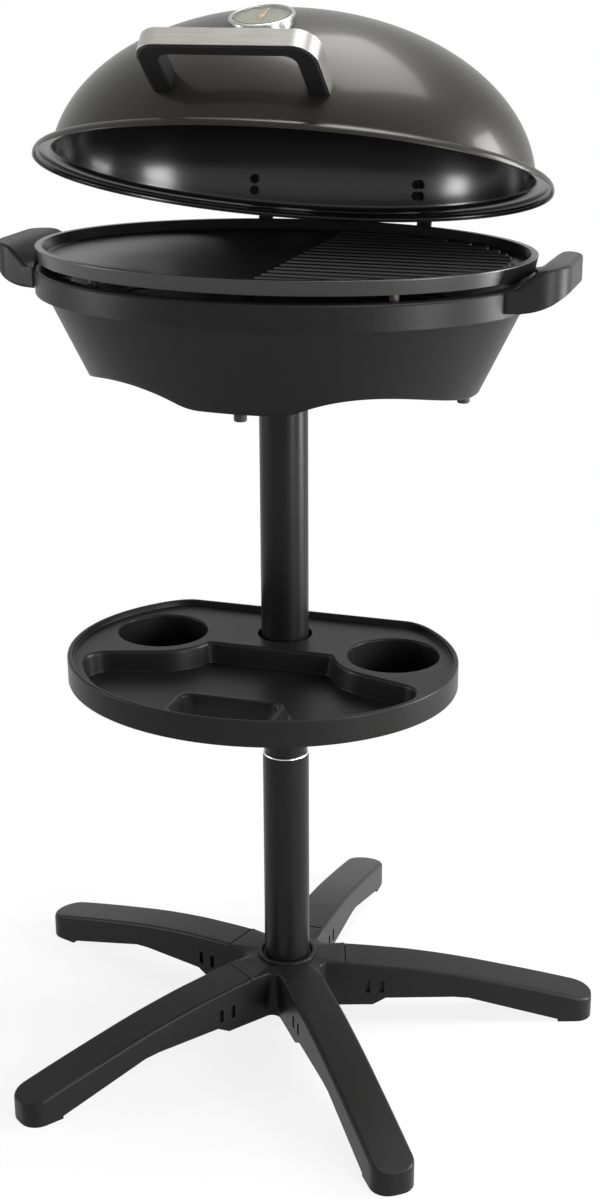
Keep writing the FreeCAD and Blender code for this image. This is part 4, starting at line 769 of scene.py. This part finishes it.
# Tray collar and screws: fittings out of sight under the tray and the bowl.
# The collar and its screw are black mouldings, and the pole socket's screws are zinc-plated steel.
def dressed(finish, *names):
    """Gives CAD solids that need no finer mesh their finish."""
    for name in names:
        piece = frame["nodes"][name]
        piece.data.materials.clear()
        piece.data.materials.append(finish.material)


screw_steel = bare_steel("screw_steel", (0.42, 0.42, 0.41), 0.28)
dressed(stand_plastic, "tray_collar", "tray_screw")
dressed(screw_steel, "socket_screws")


# Bowl: a deep matte charcoal moulding with drawn-in walls and a lower edge scalloped at both ends.
# An inner floor carries the pole socket, and four bosses take the rubber feet.
bowl_top_half = (0.232, 0.178)
bowl_low_half = (0.191, 0.141)
bowl_low = 0.705
bowl_high = 0.790
bowl_wall = 0.003
bowl_hem = 0.001
bowl_boss = 0.009
oval_steps = 288
bowl_floor = 0.728
arch_side = 0.120
arch_width = 0.142
arch_height = 0.017
arch_round = 0.060
foot_places = ((0.0, -0.127), (0.0, 0.127), (-0.178, 0.0), (0.178, 0.0))
foot_radius = 0.006
foot_height = 0.009
bowl_plastic = moulded("bowl_plastic", (0.0095, 0.0095, 0.0099), 0.31, 0.12, 1300.0, 0.00008)


def bowl_edge(side):
    """The height of the bowl's lower edge at a distance to the side."""
    radius = (arch_width ** 2 / 4 + arch_height ** 2) / (2 * arch_height)
    middle = bowl_low + arch_height - radius
    ease = arch_side - sqrt((radius + arch_round) ** 2 - (bowl_low + arch_round - middle) ** 2)
    ease_end = arch_side + (ease - arch_side) * radius / (radius + arch_round)
    if side < ease:
        return bowl_low
    if side < ease_end:
        return bowl_low + arch_round - sqrt(arch_round ** 2 - (side - ease) ** 2)
    return max(bowl_low, middle + sqrt(max(radius ** 2 - (side - arch_side) ** 2, 0)))


def bowl_half(height, inset):
    """The bowl's half length and half width at a height."""
    share = (height - bowl_low) / (bowl_high - bowl_low)
    return [low + (high - low) * share - inset for low, high in zip(bowl_low_half, bowl_top_half)]


bowl_loops = []
for c, s in circle(oval_steps):
    low = bowl_low
    for _ in range(8):
        low = bowl_edge(abs(bowl_half(low, 0)[0] * c))
    heights = spaced(low + bowl_hem, bowl_high, 12)
    section = [(0.0, height) for height in heights]
    section += [(bowl_wall, height) for height in reversed(heights)]
    section += [(bowl_wall * 0.75, low + 0.0002), (bowl_wall * 0.5, low), (bowl_wall * 0.25, low + 0.0002)]
    loop = []
    for inset, height in section:
        length, width = bowl_half(height, inset)
        loop.append((length * c, width * s, height))
    bowl_loops.append(loop)
bowl_shell = lofted("bowl_shell", bowl_loops, ring=True)


def oval_loop(length, width, height, steps=256):
    """One level oval."""
    return [(length * c, width * s, height) for c, s in circle(steps)]


bowl_slab = lofted("bowl_slab", [
    oval_loop(*bowl_half(height, bowl_wall / 2), height) for height in (bowl_floor, bowl_floor + bowl_wall)
])
bowl_bosses = [turned("bowl_boss", outline(
    (0.0, bowl_low), (bowl_boss, bowl_low, 0.0008), (bowl_boss, bowl_floor), (0.0, bowl_floor),
), 32, place) for place in foot_places]
bowl = joined("bowl_moulding", [bowl_shell, bowl_slab, *bowl_bosses])
finished(bowl, bowl_plastic, "head", "bowl_housing")
dressed(bowl_plastic, "pole_socket")


# Feet: four black rubber buttons pressed into the bowl's bosses, so that the head can stand on a table.
foot_rubber = coat(
    "foot_rubber", (500.0, 3.0), (500.0, 3.0), ((0.006, 0.006, 0.006), (0.012, 0.012, 0.012)),
    (0.68, 0.0, 0.15), (0.3, 0.0001),
)
foot_low = bowl_low - foot_height
feet = joined("foot_buttons", [turned("foot_button", outline(
    (0.0, foot_low), (foot_radius, foot_low, 0.0014), (foot_radius, bowl_low, 0.0003), (0.0, bowl_low),
), 32, place) for place in foot_places])
finished(feet, foot_rubber, "head", "bowl_feet")


# Band: an oval charcoal moulding on the bowl with a softened top edge and an inner ledge for the heater.
band_half = (0.243, 0.184)
band_low = 0.790
band_high = 0.814
band_inside = -0.014
ledge_inside = -0.032
ledge_low = 0.796
ledge_high = 0.799
band = turned("band_moulding", outline(
    (0.0, band_low, 0.0008), (0.0, band_high, 0.003), (band_inside, band_high, 0.0012),
    (band_inside, ledge_high), (ledge_inside, ledge_high, 0.0005), (ledge_inside, ledge_low),
    (band_inside, ledge_low), (band_inside, band_low),
), oval_steps, half=band_half)
finished(band, bowl_plastic, "head", "rim_frame")


# Ears: two upswept carrying handles, moulded apart from the band and screwed on from inside.
# A fine seam runs round each root, and the outer end is a soft D in plan with a level top.
ear_reach = 0.280
ear_tip_half = 0.050
ear_root = (0.227, 0.067)
ear_tip_round = 0.032
ear_seam = 0.0003
ear_edge = 0.0032
ear_half = 0.0662
ear_slices = 72
ear_under = ((0.200, 0.795), (0.235, 0.795), (0.244, 0.7951), (0.253, 0.7965), (0.262, 0.7994),
             (0.270, 0.8034), (0.280, 0.811))
ear_over = ((0.200, 0.816), (0.235, 0.816), (0.246, 0.8240), (0.256, 0.8314), (0.262, 0.8334),
            (0.270, 0.8344), (0.280, 0.8355))


def ear_end(side):
    """How far out an ear reaches at a distance from its middle."""
    run = Vector((ear_root[0] - ear_reach, ear_root[1] - ear_tip_half)).normalized()
    half = acos(-run.y) / 2
    length = ear_tip_round / tan(half)
    if side <= ear_tip_half - length:
        return ear_reach
    if side < ear_tip_half + run.y * length:
        rise = side - (ear_tip_half - length)
        return ear_reach - ear_tip_round + sqrt(ear_tip_round ** 2 - rise ** 2)
    return ear_root[0] + (ear_root[1] - side) * run.x / -run.y


def ear_loop(side):
    """One slice through the right ear, from the seam to the outer end and back."""
    near = (band_half[0] + ear_seam) * sqrt(1 - (side / (band_half[1] + ear_seam)) ** 2)
    far = max(ear_end(abs(side)), near + 0.0012)
    soft = min(ear_edge, (far - near) * 0.3)
    spread = spaced(near, far, 12)[:-1]
    corners = [(x, along_line(ear_under, x)) for x in spread]
    corners += [(far, along_line(ear_under, far), soft), (far, along_line(ear_over, far), soft)]
    corners += [(x, along_line(ear_over, x)) for x in reversed(spread)]
    return [(x, side, z) for x, z in outline(*corners, steps=5)]


ear_stations = [ear_half * sin(turn) for turn in spaced(-pi / 2, pi / 2, ear_slices)]
for ear_name, ear_side in (("right", 1), ("left", -1)):
    ear = lofted(f"ear_{ear_name}", [
        [(ear_side * x, y, z) for x, y, z in ear_loop(side)] for side in ear_stations
    ])
    finished(ear, bowl_plastic, "head", f"handle_{ear_name}", angle=50)
dressed(screw_steel, "handle_screws")


# Heater: a pressed aluminised pan, a bent tubular element on clips, and four posts that carry the plate.
# Only the posts show, in the dark gap under the plate.
element_steel = coat(
    "element_steel", (25.0, 3.0), (700.0,), ((0.05, 0.045, 0.042), (0.12, 0.10, 0.09)), (0.42, 0.2, 0.0),
    (0.3, 0.00005), metallic=0.8,
)
reflector_sheet = bare_steel("reflector_sheet", (0.50, 0.50, 0.49), 0.34)
dressed(reflector_sheet, "reflector_pan")
dressed(element_steel, "heating_element", "element_clips", "plate_posts")


# Grill plate: cast aluminium with a black satin non-stick coat, smooth at the left and ridged at the right.
# A flat rim runs round the dish, and the ridges have rounded crests and ends.
plate_half = (0.2425, 0.1795)
plate_low = 0.8205
plate_high = 0.8345
plate_dish = 0.8245
ridge_pitch = 0.018
ridge_count = 17
ridge_start = 0.015
ridge_width = 0.007
ridge_crest = 0.004
ridge_height = 0.0045
ridge_field = (0.2195, 0.1565)
plate_coating = coat(
    "plate_coating", (9.0, 3.0), (1400.0,), ((0.0045, 0.0044, 0.0042), (0.0075, 0.0073, 0.0070)),
    (0.24, 0.08, 0.06), (0.35, 0.00007), specular_ior_level=0.6,
)
plate_section = outline(
    (-0.004, plate_low), (-0.003, plate_low, 0.0004), (0.0, plate_high, 0.0010),
    (-0.007, plate_high, 0.0012), (-0.0118, plate_dish, 0.0030), (-0.016, plate_dish),
)
plate = lofted("plate_casting", [
    oval_loop(plate_half[0] + offset, plate_half[1] + offset, height, oval_steps)
    for offset, height in plate_section
])
finished(plate, plate_coating, "head", "grill_plate")


def ridge_pattern():
    """One ridge a metre long, to be drawn out to its own length, with ends that run out softly."""
    half = ridge_width / 2
    crest = ridge_crest / 2
    section = [(-half, -0.0006), (half, -0.0006), (half, 0.0), (crest + 0.0003, ridge_height - 0.0012),
               (crest - 0.0006, ridge_height - 0.0002), (0.0, ridge_height)]
    section += [(-y, z) for y, z in reversed(section[2:5])]
    loops = []
    ends = ((0.0, 0.55, 0.30), (0.004, 0.78, 0.66), (0.010, 0.93, 0.90), (0.018, 1.0, 1.0))
    for reach, wide, tall in ends + tuple((1 - r, w, t) for r, w, t in reversed(ends)):
        loops.append([(reach, y * wide, z * tall if z > 0 else z) for y, z in section])
    return lofted("plate_ridges", loops)


def opened(name, kinds):
    """A node tree with a pattern, a coat and other named values coming in: the graph, and its inputs."""
    graph = Graph(bpy.data.node_groups.new(name, "GeometryNodeTree"))
    for label, kind in (("Pattern", "Geometry"), *kinds, ("Coat", "Material")):
        graph.tree.interface.new_socket(label, in_out="INPUT", socket_type="NodeSocket" + kind)
    graph.tree.interface.new_socket("Result", in_out="OUTPUT", socket_type="NodeSocketGeometry")
    return graph, graph.node("NodeGroupInput")


def closed(graph, given, points, **layout):
    """Ends a node tree with copies of its pattern on points, made real and given its coat."""
    links = {"Points": points, "Instance": given["Pattern"], **layout}
    copies = graph.node("GeometryNodeInstanceOnPoints", links)["Instances"]
    real = graph.node("GeometryNodeRealizeInstances", {"Geometry": copies})["Geometry"]
    coated = graph.node("GeometryNodeSetMaterial", {"Geometry": real, "Material": given["Coat"]})
    graph.node("NodeGroupOutput", {"Result": coated["Geometry"]})
    return graph.tree


def ridge_rows():
    """A node tree that sets ridges side by side and draws each out to the dish's oval."""
    graph, given = opened("ridge_rows", (
        ("Count", "Int"), ("Pitch", "Float"), ("Start", "Float"), ("Half Length", "Float"),
        ("Half Width", "Float"), ("Height", "Float"),
    ))
    span = (given["Count"] - 1.0) * given["Pitch"]
    first = graph.node("ShaderNodeCombineXYZ", {
        "X": given["Start"], "Y": span * -0.5, "Z": given["Height"],
    })
    step = graph.node("ShaderNodeCombineXYZ", {"Y": given["Pitch"]})
    rows = graph.node("GeometryNodeMeshLine", {
        "Count": given["Count"], "Start Location": first["Vector"], "Offset": step["Vector"],
    }, {"mode": "OFFSET"})
    spot = graph.node("GeometryNodeInputPosition")["Position"]
    share = graph.node("ShaderNodeSeparateXYZ", {"Vector": spot})["Y"] / given["Half Width"]
    reach = share.math("SQRT", 1.0 - share * share)
    length = reach * given["Half Length"] - given["Start"]
    scale = graph.node("ShaderNodeCombineXYZ", {"X": length, "Y": 1.0, "Z": 1.0})
    return closed(graph, given, rows["Mesh"], Scale=scale["Vector"])


def set_out(piece, tree, values):
    """Runs a node tree on a piece with named inputs, and leaves its plain mesh."""
    step = piece.modifiers.new("rows", "NODES")
    step.node_group = tree
    for socket in tree.interface.items_tree:
        if socket.name in values:
            step[socket.identifier] = values[socket.name]
    plain(piece)


ridges = ridge_pattern()
set_out(ridges, ridge_rows(), {
    "Count": ridge_count, "Pitch": ridge_pitch, "Start": ridge_start, "Half Length": ridge_field[0],
    "Half Width": ridge_field[1], "Height": plate_dish, "Coat": plate_coating.material,
})
finished(ridges, plate_coating, "head", angle=60)


# Thermostat box: a plain black housing behind the bowl, with a knob, a red lamp lens and a cord gland.
lamp_red = Finish("lamp_red")
lens_grain = lamp_red.noise(300.0, 1.0)
lamp_red.surface(
    base_color=lamp_red.mix(lens_grain, (0.36, 0.012, 0.008), (0.45, 0.02, 0.012)),
    roughness=0.08 + 0.08 * lens_grain, coat_weight=0.6,
)
dressed(bowl_plastic, "control_box", "control_knob", "cord_gland")
dressed(lamp_red, "indicator_lens")


# Hinges: moulded brackets on the band, steel pins, and bent steel straps riveted to the lid.
dressed(bowl_plastic, "hinge_bracket_left", "hinge_bracket_right")
dressed(pole_lacquer, "hinge_strap_left", "hinge_strap_right", "strap_rivets")
dressed(screw_steel, "hinge_pins")


# Lid: a deep-drawn steel dome with a turned-out flange and a rolled lip.
# It is sprayed outside with a graphite metallic lacquer, and inside with glossy black enamel.
lid_half = (0.2506, 0.1906)
lid_flange = 0.0176
lid_sheet = 0.0016
lid_flange_top = 0.8364
lid_skirt = 0.008
lid_lip = 0.006
lid_cove = 0.005
dome_edge = radians(3)
dome_height = 0.144
hinge_place = Vector(next(joint["pos_m"] for joint in frame["joints"] if joint["name"] == "lid_hinge"))
lid_swing = (Matrix.Translation(hinge_place) @ Matrix.Rotation(radians(-20), 4, "X")
             @ Matrix.Translation(-hinge_place))
dome_half = [half - lid_flange for half in lid_half]
dome_x, dome_y = [half / cos(dome_edge) for half in dome_half]
dome_z = dome_height / (1 - sin(dome_edge))
dome_middle = lid_flange_top - dome_z * sin(dome_edge)


def dome_rings(shrink, first, last, steps):
    """Ovals of the dome between two angles above its middle."""
    x, y, z = [half - shrink for half in (dome_x, dome_y, dome_z)]
    rises = spaced(first, last, steps)
    return [(x * cos(rise), y * cos(rise), dome_middle + z * sin(rise)) for rise in rises]


def flange_arc(centre, height, radius, first, last, steps=6):
    """Ovals round a bend of the flange, at an offset from the dome's edge."""
    rings = []
    for angle in spaced(radians(first), radians(last), steps):
        offset = centre + radius * cos(angle)
        rings.append((dome_half[0] + offset, dome_half[1] + offset, height + radius * sin(angle)))
    return rings


nearly_up = pi / 2 - 0.004
dome_steps = 56
cove_offset = lid_cove - 0.0003
cove_height = lid_flange_top + lid_cove
cove_rise = asin((cove_height - dome_middle) / dome_z)
lip_offset = lid_flange - lid_lip
lip_height = lid_flange_top - lid_lip
hem_radius = lid_sheet / 2
hem_height = lid_flange_top - lid_skirt + hem_radius
lid_rings = [
    *dome_rings(0.0, nearly_up, cove_rise, dome_steps),
    *flange_arc(cove_offset, cove_height, lid_cove, 180, 270),
    *flange_arc(lip_offset, lip_height, lid_lip, 90, 0, 8),
    *flange_arc(lid_flange - hem_radius, hem_height, hem_radius, 0, -180, 8),
    *flange_arc(lip_offset, lip_height, lid_lip - lid_sheet, 0, 90, 8),
    *flange_arc(cove_offset, cove_height, lid_cove + lid_sheet, 270, 180),
    *dome_rings(lid_sheet, cove_rise, nearly_up, dome_steps),
]
lid = lofted("lid_shell", [oval_loop(*ring, oval_steps) for ring in lid_rings])
lid_lacquer = coat(
    "lid_lacquer", (5.0,), (2600.0, 1.0), ((0.0115, 0.0108, 0.0086), (0.0158, 0.0149, 0.0121)),
    (0.34, 0.06, 0.06), (0.06, 0.00003), metallic=0.6, specular_ior_level=0.26, coat_weight=0.22,
    coat_roughness=0.15,
)
lid_enamel = coat(
    "lid_enamel", (8.0,), (160.0,), ((0.006, 0.006, 0.006), (0.010, 0.010, 0.010)), (0.17, 0.06, 0.0),
    (0.10, 0.0001), specular_ior_level=0.42,
)
lid.data.materials.append(lid_lacquer.material)
lid.data.materials.append(lid_enamel.material)
for face in lid.data.polygons:
    spot = face.center
    away = Vector((spot.x / dome_x ** 2, spot.y / dome_y ** 2, max(spot.z - dome_middle, 0) / dome_z ** 2))
    face.material_index = int(face.normal.dot(away) <= 0)
lid.data.transform(lid_swing)
finished(lid, lid_lacquer, "lid", "lid_dome", angle=50)


# Lid handle: a black plastic U screwed through the dome, with a brushed steel strip round its outside.
grip_width = 0.162
grip_standoff = 0.057
grip_depth = 0.0195
grip_bar = 0.014
grip_leg = 0.019
grip_corner = 0.021
grip_inner = 0.011
grip_sheet = 0.0012
grip_sink = 0.020
grip_rise = 0.044
grip_bed = 0.0012
grip_lean = radians(20)
grip_height = lid_flange_top - lid_skirt / 2 + grip_rise
grip_seat = -dome_y * sqrt(1 - ((grip_height - dome_middle) / dome_z) ** 2) + grip_bed
grip_out = Vector((0, -cos(grip_lean), sin(grip_lean)))
grip_down = Vector((0, -sin(grip_lean), -cos(grip_lean)))


def dome_tool():
    """The dome's outside as a solid, to cut seats with."""
    return lofted("dome_tool", [oval_loop(*ring, 192) for ring in dome_rings(-0.0001, nearly_up, -0.3, 60)])


def on_grip(name, path, depth, edge):
    """A path of (across, out) given depth, softened, seated on the dome and swung open."""
    loops = []
    for down in (-depth / 2, depth / 2):
        seat = Vector((0, grip_seat, grip_height)) + grip_down * down
        loops.append([seat + Vector((u, 0, 0)) + grip_out * v for u, v in path])
    piece = eased(lofted(name, loops), edge)
    carved(piece, [dome_tool()])
    piece.data.transform(lid_swing)
    return piece


def arch(half, top, corner):
    """One side of the grip's U, from foot to foot."""
    return [(-half, -grip_sink), (-half, top, corner), (half, top, corner), (half, -grip_sink)]


core_outside = arch(grip_width / 2 - grip_sheet, grip_standoff - grip_sheet, grip_corner - grip_sheet)
core_inside = arch(grip_width / 2 - grip_leg, grip_standoff - grip_bar, grip_inner)
core = on_grip("handle_core", outline(*core_outside, *reversed(core_inside), steps=10), grip_depth, 0.0022)
finished(core, bowl_plastic, "lid", "lid_handle_core", angle=45)
strip_outside = arch(grip_width / 2, grip_standoff, grip_corner)
strip_path = outline(*strip_outside, *reversed(core_outside), steps=12)
strip = on_grip("handle_strip", strip_path, grip_depth - 2 * grip_sheet, 0.0003)
brushed_trim = bare_steel("brushed_trim", (0.40, 0.388, 0.362), 0.22, (0.03, 1, 1))
finished(strip, brushed_trim, "lid", "lid_handle_cover", angle=45)
dressed(screw_steel, "lid_handle_screws")


# Thermometer: a steel bezel case on the dome with a pale ticked dial, an orange needle and a clear glass.
# Its stem goes through the dome and is clamped from inside by a nut.
dial_forward = 0.118
dial_lean = radians(36)
dial_sink = 0.001
case_radius = 0.030
case_rise = 0.0072
case_depth = 0.012
bezel = 0.004
dial_depth = 0.0048
dial_plate = 0.0008
tick_rings = ((36, 0.0022), (12, 0.0044))
tick_half = 0.0005
tick_sink = 0.00005
tick_margin = 0.0025
needle_hole = 0.0012
needle_shaft = 0.0008
needle_hub = 0.003
needle_lift = 0.0008
needle_thick = 0.0006
needle_outline = ((-0.0012, -0.007), (0.0012, -0.007), (0.0006, 0.022), (-0.0006, 0.022))
dial_height = dome_middle + dome_z * sqrt(1 - (dial_forward / dome_y) ** 2) - dial_sink
dial_place = Matrix.Translation((0, -dial_forward, dial_height)) @ Matrix.Rotation(dial_lean, 4, "X")
window = case_radius - bezel
dial_floor = case_rise - dial_depth
case = turned("dial_case", outline(
    (0.0, -case_depth), (case_radius, -case_depth), (case_radius, case_rise, 0.0022),
    (window, case_rise, 0.0010), (window, dial_floor), (0.0, dial_floor),
))
case.data.transform(dial_place)
carved(case, [dome_tool()])
case.data.transform(lid_swing)
bezel_steel = bare_steel("bezel_steel", (0.36, 0.36, 0.345), 0.16)
finished(case, bezel_steel, "lid", "thermometer_case", slot="brushed_trim")


def printed(name, colour, rough):
    """Paint or ink with a fine even grain."""
    tones = ([c * 0.93 for c in colour], colour)
    return coat(name, (600.0,), (600.0,), tones, (rough, 0.0, 0.1), (0.1, 0.00003))


dial_face = printed("dial_face", (0.080, 0.072, 0.040), 0.45)
dial_ink = printed("dial_ink", (0.02, 0.02, 0.02), 0.5)
dial_top = dial_floor + dial_plate
dial_radius = window - 0.0001
dial = turned("dial_disc", outline(
    (needle_hole, dial_floor), (dial_radius, dial_floor), (dial_radius, dial_top, 0.0002),
    (needle_hole, dial_top),
))
dial.data.transform(lid_swing @ dial_place)
finished(dial, dial_face, "lid", "thermometer_dial")


def tick_ring():
    """A node tree that sets ticks round a dial, each pointing outwards."""
    graph, given = opened("tick_ring", (("Count", "Int"), ("Radius", "Float")))
    ring = graph.node("GeometryNodeMeshCircle", {"Vertices": given["Count"], "Radius": given["Radius"]})
    outward = graph.node("GeometryNodeInputPosition")["Position"]
    turn = graph.node("FunctionNodeAlignRotationToVector", {"Vector": outward}, {"axis": "X"})
    return closed(graph, given, ring["Mesh"], Rotation=turn["Rotation"])


tick_place = lid_swing @ dial_place @ Matrix.Translation((0, 0, dial_top))
tick_tree = tick_ring()
for tick_count, tick_length in tick_rings:
    tick_low = (-tick_length, -tick_half, -tick_sink)
    ticks = box(f"dial_ticks_{tick_count}", tick_low, (0.0, tick_half, 2 * tick_sink))
    set_out(ticks, tick_tree, {
        "Count": tick_count, "Radius": window - tick_margin, "Coat": dial_ink.material,
    })
    ticks.data.transform(tick_place)
    finished(ticks, dial_ink, "lid", slot="dial_face")
needle_paint = printed("needle_paint", (0.45, 0.21, 0.035), 0.35)
needle_low = dial_top + needle_lift
needle_high = needle_low + needle_thick
needle_cap = needle_high + needle_thick
pin_low = dial_floor + 0.0003
pin_high = needle_low + 0.0002
needle = joined("dial_pointer", [
    lofted("needle_blade", [[(x, y, z) for x, y in needle_outline] for z in (needle_low, needle_high)]),
    turned("needle_cap", outline(
        (0.0, needle_low), (needle_hub, needle_low), (needle_hub, needle_cap, 0.0004), (0.0, needle_cap),
    ), 48),
    turned("needle_pin", [
        (0.0, pin_low), (needle_shaft, pin_low), (needle_shaft, pin_high), (0.0, pin_high),
    ], 24),
])
needle.data.transform(lid_swing @ dial_place)
finished(needle, needle_paint, "needle", "thermometer_needle")
dial_glass = Finish("dial_glass")
dial_glass.surface(
    base_color=(0.90, 0.94, 0.88, 1), roughness=0.02 + 0.05 * dial_glass.noise(60.0),
    transmission_weight=1.0, ior=1.22,
)
dressed(dial_glass, "thermometer_glass")
dressed(screw_steel, "thermometer_stem", "thermometer_nut")
